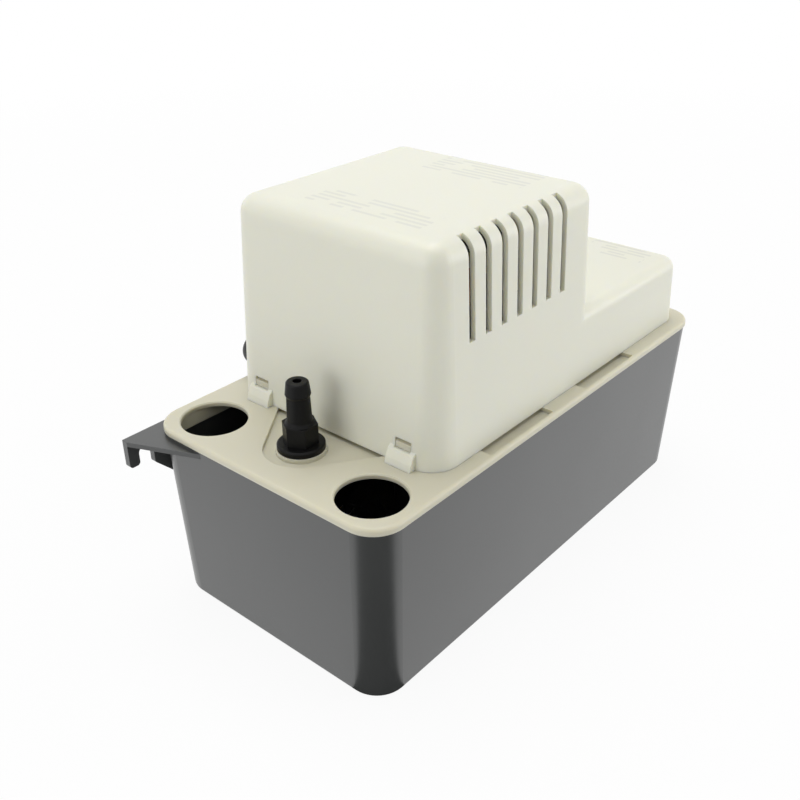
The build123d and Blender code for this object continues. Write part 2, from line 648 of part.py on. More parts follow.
def make_valve_spring():
    foot = DECK_TOP + 2 * O_RING_WIRE + POPPET_HEAD
    roof = DECK_TOP + VALVE_CHAMBER_TOP
    height = roof - foot - 2 * SPRING_WIRE
    path = Helix(height / SPRING_TURNS, height, SPRING_R)
    section = Plane(origin=path @ 0, z_dir=path % 0) * RegularPolygon(SPRING_WIRE, 6)
    return Pos(VALVE_X, 0, foot + SPRING_WIRE) * sweep(section, path)


# ---------------------------------------------------------------- pump
def volute_turn():
    """Turn that points the volute's outlet at the valve."""
    distance = MOTOR_X - VALVE_X
    return 180 - degrees(acos(NOZZLE_OFFSET / distance))


def in_volute(shape):
    return Pos(MOTOR_X, 0, 0) * Rot(0, 0, volute_turn()) * shape


def volute_point(quarter, grow):
    """Point of the spiral after so many quarter turns."""
    radius = VOLUTE_START_R + grow + VOLUTE_GROWTH * quarter / 4
    angle = radians(90 * quarter)
    return (radius * cos(angle), radius * sin(angle))


def volute_outline(grow):
    """Spiral that widens with angle, then leaves along a straight outlet."""
    arcs = [ThreePointArc(*[volute_point(start + step, grow) for step in (0, 0.5, 1)])
            for start in range(4)]
    spiral = make_face([*arcs, Line(volute_point(4, grow), volute_point(0, grow))])
    outlet_width = VOLUTE_GROWTH + 2 * grow
    outlet = Pos(NOZZLE_OFFSET, NOZZLE_START / 2) * Rectangle(outlet_width, NOZZLE_START)
    return spiral + outlet


def make_volute_case():
    case = extrude(volute_outline(VOLUTE_WALL), VOLUTE_DEPTH + VOLUTE_WALL)
    nozzle = Pos(NOZZLE_OFFSET, NOZZLE_START, VOLUTE_DEPTH / 2) * Rot(-90, 0, 0) * Cylinder(
        NOZZLE_R, NOZZLE_END - NOZZLE_START, align=BASE)
    case += nozzle
    cavity = extrude(volute_outline(0), VOLUTE_DEPTH)
    case -= cavity
    bore = Pos(NOZZLE_OFFSET, 0, VOLUTE_DEPTH / 2) * Rot(-90, 0, 0) * Cylinder(
        NOZZLE_BORE_R, NOZZLE_END + 1, align=BASE)
    case -= bore
    case -= disc(VOLUTE_EYE_R, VOLUTE_TOP)
    return in_volute(Pos(0, 0, VOLUTE_FLOOR) * case)


def make_inlet_plate():
    """Plate that closes the volute, with the suction eye in its middle."""
    plate = extrude(volute_outline(VOLUTE_WALL), INLET_PLATE)
    plate -= Cylinder(INLET_EYE_R, 4 * INLET_PLATE)
    return in_volute(Pos(0, 0, PUMP_BASE) * plate)


def screw_circle(shape):
    """Copies of a shape on the column's screw circle."""
    turn = 360 / COLUMN_SCREWS
    return [at_motor(Rot(0, 0, turn * (i + 0.5)) * Pos(COLUMN_SCREW_CIRCLE, 0, 0) * shape)
            for i in range(COLUMN_SCREWS)]


def make_pump_column():
    """Tube round the shaft that hangs the volute from the deck, with drain windows."""
    height = DECK_UNDER - VOLUTE_TOP
    column = disc(COLUMN_R, height)
    for z in (0, height - COLUMN_FLANGE):
        column += disc(COLUMN_FLANGE_R, COLUMN_FLANGE, z=z)
    column -= disc(COLUMN_R - COLUMN_WALL, height)
    for turn in (0, 90):
        column -= Pos(0, 0, height / 2) * Rot(0, 0, turn) * Box(
            4 * COLUMN_R, COLUMN_WINDOW_WIDTH, COLUMN_WINDOW_HEIGHT)
    column = at_motor(Pos(0, 0, VOLUTE_TOP) * column)
    hole = disc(SCREW_R + PUSH_FIT, COLUMN_FLANGE, z=DECK_UNDER - COLUMN_FLANGE)
    for placed in screw_circle(hole):
        column -= placed
    return column


def make_column_screws():
    """Screws up through the column's top flange into the deck."""
    flange_under = DECK_UNDER - COLUMN_FLANGE
    upward = Rot(180, 0, 0) * screw(COLUMN_FLANGE, SCREW_R)
    return group(screw_circle(Pos(0, 0, flange_under) * upward))


def make_discharge_tube():
    """Rubber tube from the volute's nozzle to the valve's tail, with one swept bend."""
    corner_y = sqrt((MOTOR_X - VALVE_X) ** 2 - NOZZLE_OFFSET ** 2)
    start_y = NOZZLE_END - TUBE_OVERLAP
    end_z = DECK_TOP - VALVE_TAIL_DROP + TUBE_OVERLAP
    points = [(NOZZLE_OFFSET, start_y, NOZZLE_Z), (NOZZLE_OFFSET, corner_y, NOZZLE_Z),
              (NOZZLE_OFFSET, corner_y, end_z)]
    path = FilletPolyline(*points, radius=TUBE_BEND_R)
    bore_r = max(NOZZLE_R, VALVE_STEM_R) + TUBE_FIT
    section = Plane(origin=path @ 0, z_dir=path % 0) * (
        Circle(bore_r + TUBE_WALL) - Circle(bore_r))
    return in_volute(sweep(section, path))


def make_tube_clamps():
    """Spring bands round the tube's two ends."""
    bore_r = max(NOZZLE_R, VALVE_STEM_R) + TUBE_FIT + TUBE_WALL + PUSH_FIT
    band = ring(bore_r + CLAMP_WALL, bore_r, CLAMP_WIDTH)
    start_y = NOZZLE_END - TUBE_OVERLAP
    lower = in_volute(Pos(NOZZLE_OFFSET, start_y + CLAMP_WALL, NOZZLE_Z) * Rot(-90, 0, 0) * band)
    end_z = DECK_TOP - VALVE_TAIL_DROP + TUBE_OVERLAP
    upper = Pos(VALVE_X, 0, end_z - CLAMP_WIDTH - CLAMP_WALL) * band
    return group([lower, upper])


def impeller_vane(height):
    """Backward-curved vane cut from a thin arc."""
    arc = Circle(VANE_CURVE_R) - Circle(VANE_CURVE_R - VANE_WALL)
    arc = Pos(IMPELLER_HUB_R + VANE_CURVE_R / 2, -VANE_CURVE_R * 0.6) * arc
    window = Pos(IMPELLER_R / 2, IMPELLER_R / 2) * Rectangle(IMPELLER_R, IMPELLER_R)
    return extrude(arc & window & Circle(IMPELLER_R), height)


def make_impeller():
    height = VOLUTE_DEPTH - 2 * IMPELLER_GAP
    vane_height = height - IMPELLER_DISC
    impeller = disc(IMPELLER_R, IMPELLER_DISC, z=vane_height)
    impeller += disc(IMPELLER_HUB_R, vane_height)
    vane = impeller_vane(vane_height)
    for index in range(VANE_COUNT):
        impeller += Rot(0, 0, 360 * index / VANE_COUNT) * vane
    impeller -= disc(SHAFT_R, height, z=IMPELLER_DISC)
    return at_motor(Pos(0, 0, VOLUTE_FLOOR + IMPELLER_GAP) * impeller)


# ---------------------------------------------------------------- motor
def make_motor_shaft():
    foot = VOLUTE_FLOOR + IMPELLER_GAP + IMPELLER_DISC
    top = FAN_BASE + FAN_HEIGHT
    shaft = chamfer(disc(SHAFT_R, top - foot, z=foot).edges().sort_by(Axis.Z)[-1], 0.5)
    return at_motor(shaft)


def motor_corners():
    half = POST_SPACING / 2
    return [(x, y) for x in (-half, half) for y in (-half, half)]


def endbell():
    """Bearing bracket: cross arms from a hub to four legs that stand on the stack."""
    reach = POST_SPACING * sqrt(2)
    bell = Rot(0, 0, 45) * Pos(0, 0, ENDBELL_PLATE / 2) * (
        Box(reach, ENDBELL_LEG, ENDBELL_PLATE) + Box(ENDBELL_LEG, reach, ENDBELL_PLATE))
    for x, y in motor_corners():
        leg = Rot(0, 0, 45) * Box(ENDBELL_LEG, ENDBELL_LEG, ENDBELL_HEIGHT, align=BASE)
        bell += Pos(x, y, 0) * leg
    bell += disc(ENDBELL_HUB_R, ENDBELL_HUB_LENGTH, z=ENDBELL_PLATE - ENDBELL_HUB_LENGTH)
    for x, y in motor_corners():
        bell -= disc(SCREW_R + PUSH_FIT, ENDBELL_HEIGHT, x, y)
    return bell - disc(BEARING_R, 3 * ENDBELL_HUB_LENGTH, z=-1.5 * ENDBELL_HUB_LENGTH)


def make_lower_endbell():
    return at_motor(Pos(0, 0, MOTOR_BASE) * endbell())


def make_upper_endbell():
    return at_motor(Pos(0, 0, MOTOR_TOP) * Rot(180, 0, 0) * endbell())


def bearing():
    """Sleeve bearing with a shoulder-free bore."""
    return ring(BEARING_R, SHAFT_R + RUNNING_FIT, BEARING_LENGTH)


def make_lower_bearing():
    return at_motor(Pos(0, 0, MOTOR_BASE + ENDBELL_PLATE - ENDBELL_HUB_LENGTH) * bearing())


def make_upper_bearing():
    return at_motor(Pos(0, 0, MOTOR_TOP - ENDBELL_PLATE) * bearing())


def make_stator_core():
    outline = RectangleRounded(STATOR_SIZE, STATOR_SIZE, STATOR_CORNER_R) - Circle(STATOR_BORE_R)
    core = extrude(outline, STATOR_STACK)
    for x, y in motor_corners():
        core -= disc(SCREW_R + PUSH_FIT, STATOR_STACK, x, y)
    return at_motor(Pos(0, 0, STATOR_BASE) * core)


def winding_head():
    head = disc(WINDING_R, WINDING_HEAD)
    head = chamfer(head.edges().sort_by(Axis.Z)[-1], WINDING_CHAMFER)
    return head - disc(STATOR_BORE_R + AIR_GAP, WINDING_HEAD)


def make_upper_winding():
    return at_motor(Pos(0, 0, STATOR_TOP) * winding_head())


def make_lower_winding():
    return at_motor(Pos(0, 0, STATOR_BASE) * Rot(180, 0, 0) * winding_head())


def make_rotor_core():
    rotor = ring(STATOR_BORE_R - AIR_GAP, SHAFT_R, STATOR_STACK)
    cage = ring(STATOR_BORE_R - 3 * AIR_GAP, STATOR_BORE_R / 2, 2)
    rotor += Pos(0, 0, STATOR_STACK) * cage
    rotor += Pos(0, 0, -2) * cage
    return at_motor(Pos(0, 0, STATOR_BASE) * rotor)


def make_motor_screws():
    """Long screws through both endbells and the stack into the deck's posts."""
    length = MOTOR_TOP - MOTOR_BASE + POST_HEIGHT * 0.8
    return group(at_motor(Pos(x, y, MOTOR_TOP) * screw(length)) for x, y in motor_corners())


def make_shaft_slinger():
    """Rubber disc that throws water off the shaft before it reaches the motor."""
    z = DECK_TOP + SHAFT_COLLAR - DECK_PLATE / 2
    hub = disc(SHAFT_R + 1.6, 1.6, z=z - 1.6)
    slinger = hub + disc(SHAFT_HOLE_R - 1, 1.2, z=z)
    return at_motor(slinger - disc(SHAFT_R, DECK_TOP, z=z - DECK_TOP / 2))


def make_cooling_fan():
    fan = disc(FAN_HUB_R, FAN_HEIGHT)
    blade = Pos(FAN_R / 2, 0, FAN_HEIGHT / 2) * Rot(FAN_BLADE_ANGLE, 0, 0) * Box(
        FAN_R, FAN_HEIGHT * 1.7, FAN_BLADE_WALL)
    for index in range(FAN_BLADES):
        fan += (Rot(0, 0, 360 * index / FAN_BLADES) * blade) & disc(FAN_R, FAN_HEIGHT)
    fan -= disc(SHAFT_R, FAN_HEIGHT)
    return at_motor(Pos(0, 0, FAN_BASE) * fan)


# ---------------------------------------------------------------- float and switches
def make_float_pivot_pin():
    length = ARM_WIDTH + 2 * (EAR_GAP + PIVOT_EAR) + 2
    return cross_pin(PIVOT_PIN_R, length, PIVOT_X, PIVOT_Z)


def make_float_arm():
    """Arm with its hub on the pivot and a foot that lies on the float."""
    top = ARM_THICKNESS / 2
    foot = -FLOAT_DROP
    outline = Polygon(
        (0, top), (ARM_LENGTH, top), (ARM_LENGTH + ARM_THICKNESS, foot + ARM_THICKNESS),
        (ARM_LENGTH + ARM_FOOT, foot + ARM_THICKNESS), (ARM_LENGTH + ARM_FOOT, foot),
        (ARM_LENGTH, foot), (ARM_LENGTH - ARM_THICKNESS, -top), (0, -top), align=None)
    arm = along_y(outline, ARM_WIDTH)
    arm += cross_pin(ARM_HUB_R, ARM_WIDTH, 0, 0)
    arm -= cross_pin(PIVOT_PIN_R + RUNNING_FIT, 2 * ARM_WIDTH, 0, 0)
    arm -= disc(SCREW_R + PUSH_FIT, ARM_THICKNESS, ARM_LENGTH + FLOAT_SCREW_X, 0, foot)
    return Pos(PIVOT_X, 0, PIVOT_Z) * arm


def make_float_body():
    """Hollow float drawn as a closed block with rounded edges."""
    start = PIVOT_X + ARM_LENGTH
    body = Pos(start + FLOAT_LENGTH / 2, 0, PIVOT_Z - FLOAT_DROP - FLOAT_HEIGHT / 2) * Box(
        FLOAT_LENGTH, FLOAT_WIDTH, FLOAT_HEIGHT)
    body = fillet(body.edges().filter_by(Axis.Z), FLOAT_ROUND)
    return fillet(body.faces().sort_by(Axis.Z)[0].edges(), FLOAT_ROUND * 0.6)


def make_float_screw():
    x = PIVOT_X + ARM_LENGTH + FLOAT_SCREW_X
    return Pos(x, 0, PIVOT_Z - FLOAT_DROP + ARM_THICKNESS) * screw(ARM_THICKNESS)


def make_push_rod():
    """Round-ended rod through the deck with a cross bar under both switch levers."""
    foot = PIVOT_Z + ARM_THICKNESS / 2 + ROD_GAP
    rod = disc(ROD_R, ROD_BAR_Z - foot - ROD_R, ROD_X, 0, foot + ROD_R)
    rod += Pos(ROD_X, 0, foot + ROD_R) * Sphere(ROD_R)
    return rod + cross_pin(ROD_BAR_R, ROD_BAR_LENGTH, ROD_X, ROD_BAR_Z)


def switch_y(side):
    return side * (SWITCH_WIDTH + SWITCH_GAP) / 2


def micro_switch(side):
    """Snap switch with two lugs that hold its lever's pin."""
    y = switch_y(side)
    x0 = LEVER_PIVOT_X - 2.5 * LEVER_PIN_R
    body = Pos(x0, y, SWITCH_BASE) * Box(SWITCH_LENGTH, SWITCH_WIDTH, SWITCH_HEIGHT, align=FROM_CENTRE)
    lug_y = LEVER_WIDTH / 2 + SWITCH_GAP
    for lug_side in (-1, 1):
        lug = Pos(LEVER_PIVOT_X, y + lug_side * (lug_y + LEVER_LUG / 2), LEVER_PIVOT_Z)
        body += lug * Box(5 * LEVER_PIN_R, LEVER_LUG, 2 * LEVER_LUG + 0.5)
    body -= cross_pin(LEVER_PIN_R + RUNNING_FIT, SWITCH_WIDTH, LEVER_PIVOT_X, LEVER_PIVOT_Z, y)
    for offset in (-0.5, 0.5):
        x = x0 + SWITCH_LENGTH / 2 + offset * SWITCH_SCREW_SPACING
        z = SWITCH_BASE + SWITCH_HEIGHT / 2
        body -= cross_pin(SWITCH_SCREW_R + PUSH_FIT, 2 * SWITCH_WIDTH, x, z, y)
    return body


def switch_lever(side):
    """Sprung steel lever with its cross pin, hanging at its rest angle."""
    y = switch_y(side)
    strip = Box(LEVER_LENGTH, LEVER_WIDTH, LEVER_THICKNESS, align=(Align.MIN, Align.CENTER, Align.MIN))
    pin_length = LEVER_WIDTH + 2 * (SWITCH_GAP + LEVER_LUG)
    lever = strip + cross_pin(LEVER_PIN_R, pin_length, 0, 0)
    return Pos(LEVER_PIVOT_X, y, LEVER_PIVOT_Z) * Rot(0, LEVER_REST_ANGLE, 0) * lever


def make_switch_bracket():
    """Angle plate that stands on the deck and carries both switches."""
    x0 = LEVER_PIVOT_X - 2.5 * LEVER_PIN_R
    y0 = SWITCH_WIDTH + SWITCH_GAP
    top = SWITCH_BASE + SWITCH_HEIGHT - 1
    bracket = block((x0, x0 + SWITCH_LENGTH), (y0, y0 + BRACKET_WALL), (DECK_TOP, top))
    bracket += block((x0, x0 + SWITCH_LENGTH), (y0, y0 + BRACKET_FLANGE),
                     (DECK_TOP, DECK_TOP + BRACKET_WALL))
    for offset in (-0.5, 0.5):
        x = x0 + SWITCH_LENGTH / 2 + offset * SWITCH_SCREW_SPACING
        z = SWITCH_BASE + SWITCH_HEIGHT / 2
        bracket -= cross_pin(SWITCH_SCREW_R + PUSH_FIT, 2 * BRACKET_WALL, x, z,
                             y0 + BRACKET_WALL / 2)
    return bracket


def make_switch_screws():
    x0 = LEVER_PIVOT_X - 2.5 * LEVER_PIN_R
    length = 2 * (SWITCH_WIDTH + SWITCH_GAP) + BRACKET_WALL
    y = -SWITCH_WIDTH - SWITCH_GAP / 2
    z = SWITCH_BASE + SWITCH_HEIGHT / 2
    screws = []
    for offset in (-0.5, 0.5):
        x = x0 + SWITCH_LENGTH / 2 + offset * SWITCH_SCREW_SPACING
        bolt = screw(length, SWITCH_SCREW_R, SWITCH_SCREW_HEAD_R, SWITCH_SCREW_HEAD)
        screws.append(Pos(x, y, z) * Rot(90, 0, 0) * bolt)
    return group(screws)


# ---------------------------------------------------------------- writing the parts
PARTS = {
    "tank": make_tank,
    "deck": make_deck,
    "motor_cover": make_motor_cover,
    "cord_gland": make_cord_gland,
    "gland_nut": make_gland_nut,
    "valve_seat": make_valve_seat,
    "valve_body": make_valve_body,
    "valve_o_ring": make_valve_o_ring,
    "valve_poppet": make_valve_poppet,
    "valve_spring": make_valve_spring,
    "volute_case": make_volute_case,
    "inlet_plate": make_inlet_plate,
    "pump_column": make_pump_column,
    "column_screws": make_column_screws,
    "discharge_tube": make_discharge_tube,
    "tube_clamps": make_tube_clamps,
    "impeller": make_impeller,
    "motor_shaft": make_motor_shaft,
    "shaft_slinger": make_shaft_slinger,
    "lower_endbell": make_lower_endbell,
    "upper_endbell": make_upper_endbell,
    "lower_bearing": make_lower_bearing,
    "upper_bearing": make_upper_bearing,
    "stator_core": make_stator_core,
    "lower_winding": make_lower_winding,
    "upper_winding": make_upper_winding,
    "rotor_core": make_rotor_core,
    "motor_screws": make_motor_screws,
    "cooling_fan": make_cooling_fan,
    "float_pivot_pin": make_float_pivot_pin,
    "float_arm": make_float_arm,
    "float_body": make_float_body,
    "float_screw": make_float_screw,
    "push_rod": make_push_rod,
    "run_switch": lambda: micro_switch(-1),
    "safety_switch": lambda: micro_switch(1),
    "run_switch_lever": lambda: switch_lever(-1),
    "safety_switch_lever": lambda: switch_lever(1),
    "switch_bracket": make_switch_bracket,
    "switch_screws": make_switch_screws,
}

os.makedirs("parts", exist_ok=True)
for name, make in PARTS.items():
    export_step(make(), f"parts/{name}.step")
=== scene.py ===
"""Small tank condensate pump: reservoir, deck, vented motor cover, check valve, pump and float.

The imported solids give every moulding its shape. This script dresses them, adds the small fittings
that they leave out, and sets up a plain studio round them. Lengths are in metres, +Z is up, +X runs
along the tank away from the drain inlets, and +Y points at the wall that the tank hangs on.
"""

import logging
import math
from dataclasses import dataclass, field
from enum import Enum
from typing import Iterable, Sequence

import bmesh
import bpy
from mathutils import Matrix, Vector


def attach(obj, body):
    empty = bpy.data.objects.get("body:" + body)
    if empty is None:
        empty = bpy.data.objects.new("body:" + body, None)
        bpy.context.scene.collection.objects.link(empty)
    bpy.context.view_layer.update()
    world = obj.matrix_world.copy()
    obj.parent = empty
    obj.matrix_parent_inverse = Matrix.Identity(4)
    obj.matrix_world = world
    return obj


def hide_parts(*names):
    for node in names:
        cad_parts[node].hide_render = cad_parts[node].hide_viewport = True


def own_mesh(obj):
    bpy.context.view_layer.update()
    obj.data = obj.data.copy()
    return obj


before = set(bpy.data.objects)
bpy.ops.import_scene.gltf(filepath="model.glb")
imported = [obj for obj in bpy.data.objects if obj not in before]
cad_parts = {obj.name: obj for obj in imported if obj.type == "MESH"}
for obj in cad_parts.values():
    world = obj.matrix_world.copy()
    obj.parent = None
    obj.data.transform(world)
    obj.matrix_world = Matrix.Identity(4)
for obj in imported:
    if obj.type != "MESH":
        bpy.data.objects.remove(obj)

MM = 0.001
NOISE_RANGE = (0.3, 0.7)  # where most of a noise texture's values lie
SMOOTH_ANGLE = math.radians(35.0)  # edges that turn less are shaded smooth
BREAK_ANGLE = math.radians(40.0)  # edges that turn more are broken
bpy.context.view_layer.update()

log = logging.getLogger("condensate_pump")

Colour = tuple[float, float, float]
Point = tuple[float, float, float]


class Body(Enum):
    """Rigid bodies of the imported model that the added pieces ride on."""

    PUMP_HEAD = "pump_head"
    FLOAT = "float"


# ------------------------------------------------------------------ node trees


class Tree:
    """Thin helper that adds and links nodes in one tree."""

    def __init__(self, tree: bpy.types.NodeTree) -> None:
        """Wraps a node tree."""
        self.tree = tree

    def add(self, kind: str, **settings: object) -> bpy.types.Node:
        """Adds a node.

        Args:
            kind: Blender's name of the node type.
            settings: Attributes to set on it.

        Returns:
            The new node.
        """
        node = self.tree.nodes.new(kind)
        for name, value in settings.items():
            setattr(node, name, value)
        return node

    def feed(self, socket: bpy.types.NodeSocket, value: object) -> None:
        """Links an output to an input socket, or sets the input's own value.

        Args:
            socket: The input socket.
            value: An output socket, a number, a colour or a vector.
        """
        if isinstance(value, bpy.types.NodeSocket):
            self.tree.links.new(value, socket)
        elif isinstance(value, (tuple, list)) and len(value) == 3 and socket.type == "RGBA":
            socket.default_value = (*value, 1.0)
        else:
            socket.default_value = value

    def noise(self, vector: bpy.types.NodeSocket, scale: object, detail: float = 2.0,
              roughness: float = 0.5) -> bpy.types.NodeSocket:
        """Adds a noise texture.

        Args:
            vector: Coordinates, in metres.
            scale: Waves per metre, a number or a socket.
            detail: Octaves.
            roughness: Weight of the fine octaves.

        Returns:
            Its value output.
        """
        node = self.add("ShaderNodeTexNoise")
        self.feed(node.inputs["Vector"], vector)
        self.feed(node.inputs["Scale"], scale)
        node.inputs["Detail"].default_value = detail
        node.inputs["Roughness"].default_value = roughness
        return node.outputs["Fac"]

    def math(self, operation: str, first: object, second: object = 0.0,
             clamp: bool = False) -> bpy.types.NodeSocket:
        """Adds a math node.

        Args:
            operation: Blender's name of the operation.
            first: First input, a socket or a number.
            second: Second input, a socket or a number.
            clamp: Whether the result is held between 0 and 1.

        Returns:
            Its output.
        """
        node = self.add("ShaderNodeMath", operation=operation, use_clamp=clamp)
        self.feed(node.inputs[0], first)
        self.feed(node.inputs[1], second)
        return node.outputs[0]

    def span(self, value: bpy.types.NodeSocket, source: tuple[float, float],
             target: tuple[float, float]) -> bpy.types.NodeSocket:
        """Maps one range to another and clamps it.

        Args:
            value: The value that is mapped.
            source: Its lowest and highest value.
            target: What they become.

        Returns:
            The mapped output.
        """
        node = self.add("ShaderNodeMapRange", clamp=True)
        self.feed(node.inputs["Value"], value)
        for name, number in zip(("From Min", "From Max", "To Min", "To Max"), (*source, *target)):
            node.inputs[name].default_value = number
        return node.outputs["Result"]

    def mix(self, factor: object, first: object, second: object) -> bpy.types.NodeSocket:
        """Mixes two colours.

        Args:
            factor: Share of the second, a socket or a number.
            first: First colour.
            second: Second colour.

        Returns:
            The colour output.
        """
        node = self.add("ShaderNodeMix", data_type="RGBA")
        self.feed(node.inputs[0], factor)
        self.feed(node.inputs[6], first)
        self.feed(node.inputs[7], second)
        return node.outputs[2]


class EffectGroup:
    """Base of the shader node groups that several finishes share."""

    name: str = ""
    inputs: Sequence[tuple[str, str, float]] = ()
    outputs: Sequence[tuple[str, str]] = ()

    @classmethod
    def tree(cls) -> bpy.types.NodeTree:
        """Returns the group's node tree, built on first use."""
        made = bpy.data.node_groups.get(cls.name)
        if made is None:
            made = bpy.data.node_groups.new(cls.name, "ShaderNodeTree")
            for label, kind, value in cls.inputs:
                socket = made.interface.new_socket(label, in_out="INPUT", socket_type=kind)
                if kind == "NodeSocketFloat":
                    socket.default_value = value
            for label, kind in cls.outputs:
                made.interface.new_socket(label, in_out="OUTPUT", socket_type=kind)
            helper = Tree(made)
            cls.fill(helper, helper.add("NodeGroupInput").outputs,
                     helper.add("NodeGroupOutput").inputs)
        return made

    @classmethod
    def fill(cls, tree: Tree, given: bpy.types.bpy_prop_collection,
             result: bpy.types.bpy_prop_collection) -> None:
        """Builds the inside of the group; each effect has its own."""
        raise NotImplementedError

    @classmethod
    def place(cls, tree: Tree, **values: object) -> bpy.types.bpy_prop_collection:
        """Puts the group into a material.

        Args:
            tree: The material's tree.
            values: Value or output socket for each named input.

        Returns:
            The group node's outputs.
        """
        node = tree.add("ShaderNodeGroup", node_tree=cls.tree())
        for label, value in values.items():
            tree.feed(node.inputs[label.replace("_", " ").title()], value)
        return node.outputs


class GrainEffect(EffectGroup):
    """Fine spark-eroded grain of a moulding, with slow waviness under it."""

    name = "mould_grain"
    inputs = (("Scale", "NodeSocketFloat", 1500.0), ("Depth", "NodeSocketFloat", 1.0),
              ("Waviness", "NodeSocketFloat", 0.3))
    outputs = (("Height", "NodeSocketFloat"), ("Mask", "NodeSocketFloat"))
    wave_scale = 28.0

    @classmethod
    def fill(cls, tree: Tree, given: bpy.types.bpy_prop_collection,
             result: bpy.types.bpy_prop_collection) -> None:
        """Builds the inside of the group.

        Args:
            tree: The group's tree.
            given: Outputs of its input node.
            result: Inputs of its output node.
        """
        where = tree.add("ShaderNodeTexCoord").outputs["Object"]
        grain = tree.noise(where, given["Scale"], detail=3.0, roughness=0.6)
        waves = tree.noise(where, cls.wave_scale, detail=1.0)
        fine = tree.math("MULTIPLY", grain, given["Depth"])
        slow = tree.math("MULTIPLY", waves, given["Waviness"])
        tree.feed(result["Height"], tree.math("ADD", fine, slow))
        tree.feed(result["Mask"], grain)


class DriftEffect(EffectGroup):
    """Slow change of a colour over the surface: batch streaks, sink marks and handling."""

    name = "tone_drift"
    inputs = (("Colour", "NodeSocketColor", 0.0), ("Amount", "NodeSocketFloat", 0.06),
              ("Scale", "NodeSocketFloat", 18.0))
    outputs = (("Colour", "NodeSocketColor"), ("Mask", "NodeSocketFloat"))

    @classmethod
    def fill(cls, tree: Tree, given: bpy.types.bpy_prop_collection,
             result: bpy.types.bpy_prop_collection) -> None:
        """Builds the inside of the group.

        Args:
            tree: The group's tree.
            given: Outputs of its input node.
            result: Inputs of its output node.
        """
        where = tree.add("ShaderNodeTexCoord").outputs["Object"]
        cloud = tree.noise(where, given["Scale"], detail=4.0, roughness=0.55)
        centred = tree.math("SUBTRACT", cloud, 0.5)
        level = tree.math("ADD", tree.math("MULTIPLY", centred, given["Amount"]), 1.0)
        node = tree.add("ShaderNodeVectorMath", operation="SCALE")
        tree.feed(node.inputs[0], given["Colour"])
        tree.feed(node.inputs["Scale"], level)
        tree.feed(result["Colour"], node.outputs["Vector"])
        tree.feed(result["Mask"], cloud)


class EdgeEffect(EffectGroup):
    """Softened corners: a rounded normal and a patchy mask along the edges."""

    name = "soft_edges"
    inputs = (("Radius", "NodeSocketFloat", 0.0005), ("Wear", "NodeSocketFloat", 1.0))
    outputs = (("Normal", "NodeSocketVector"), ("Mask", "NodeSocketFloat"))
    turn_range = (0.01, 0.16)
    patch_scale = 160.0
    patch_range = (0.35, 0.65)
    least_wear = 0.35

    @classmethod
    def fill(cls, tree: Tree, given: bpy.types.bpy_prop_collection,
             result: bpy.types.bpy_prop_collection) -> None:
        """Builds the inside of the group.

        Args:
            tree: The group's tree.
            given: Outputs of its input node.
            result: Inputs of its output node.
        """
        bevel = tree.add("ShaderNodeBevel", samples=6)
        tree.feed(bevel.inputs["Radius"], given["Radius"])
        along = tree.add("ShaderNodeVectorMath", operation="DOT_PRODUCT")
        tree.feed(along.inputs[0], bevel.outputs["Normal"])
        tree.feed(along.inputs[1], tree.add("ShaderNodeNewGeometry").outputs["Normal"])
        turned = tree.math("SUBTRACT", 1.0, along.outputs["Value"])
        edge = tree.span(turned, cls.turn_range, (0.0, 1.0))
        where = tree.add("ShaderNodeTexCoord").outputs["Object"]
        patches = tree.span(tree.noise(where, cls.patch_scale, detail=4.0), cls.patch_range,
                            (cls.least_wear, 1.0))
        worn = tree.math("MULTIPLY", edge, patches)
        tree.feed(result["Normal"], bevel.outputs["Normal"])
        tree.feed(result["Mask"], tree.math("MULTIPLY", worn, given["Wear"], clamp=True))


class PanelEffect(EffectGroup):
    """Faint rows of broken bars in a rectangle that faces up: a blank stand-in for small print."""

    name = "ruled_panel"
    inputs = (("Centre X", "NodeSocketFloat", 0.0), ("Centre Y", "NodeSocketFloat", 0.0),
              ("Half X", "NodeSocketFloat", 0.01), ("Half Y", "NodeSocketFloat", 0.02),
              ("Level", "NodeSocketFloat", 0.0), ("Pitch", "NodeSocketFloat", 0.004))
    outputs = (("Mask", "NodeSocketFloat"),)
    bar_share = 0.5
    row_shift = 0.37
    break_scale = 85.0
    break_range = (0.42, 0.44)

    @classmethod
    def fill(cls, tree: Tree, given: bpy.types.bpy_prop_collection,
             result: bpy.types.bpy_prop_collection) -> None:
        """Builds the inside of the group.

        Args:
            tree: The group's tree.
            given: Outputs of its input node.
            result: Inputs of its output node.
        """
        where = tree.add("ShaderNodeSeparateXYZ")
        tree.feed(where.inputs[0], tree.add("ShaderNodeTexCoord").outputs["Object"])
        inside = tree.math("GREATER_THAN", where.outputs["Z"], given["Level"])
        for axis in ("X", "Y"):
            offset = tree.math("SUBTRACT", where.outputs[axis], given[f"Centre {axis}"])
            within = tree.math("LESS_THAN", tree.math("ABSOLUTE", offset), given[f"Half {axis}"])
            inside = tree.math("MULTIPLY", inside, within)
        row = tree.math("DIVIDE", where.outputs["X"], given["Pitch"])
        bar = tree.math("LESS_THAN", tree.math("FRACT", row), cls.bar_share)
        spot = tree.add("ShaderNodeCombineXYZ")
        tree.feed(spot.inputs["X"], tree.math("MULTIPLY", tree.math("FLOOR", row), cls.row_shift))
        tree.feed(spot.inputs["Y"], where.outputs["Y"])
        blocks = tree.noise(spot.outputs[0], cls.break_scale, detail=0.0)
        broken = tree.span(blocks, cls.break_range, (0.0, 1.0))
        tree.feed(result["Mask"], tree.math("MULTIPLY", tree.math("MULTIPLY", bar, broken), inside))


# ------------------------------------------------------------------ finishes


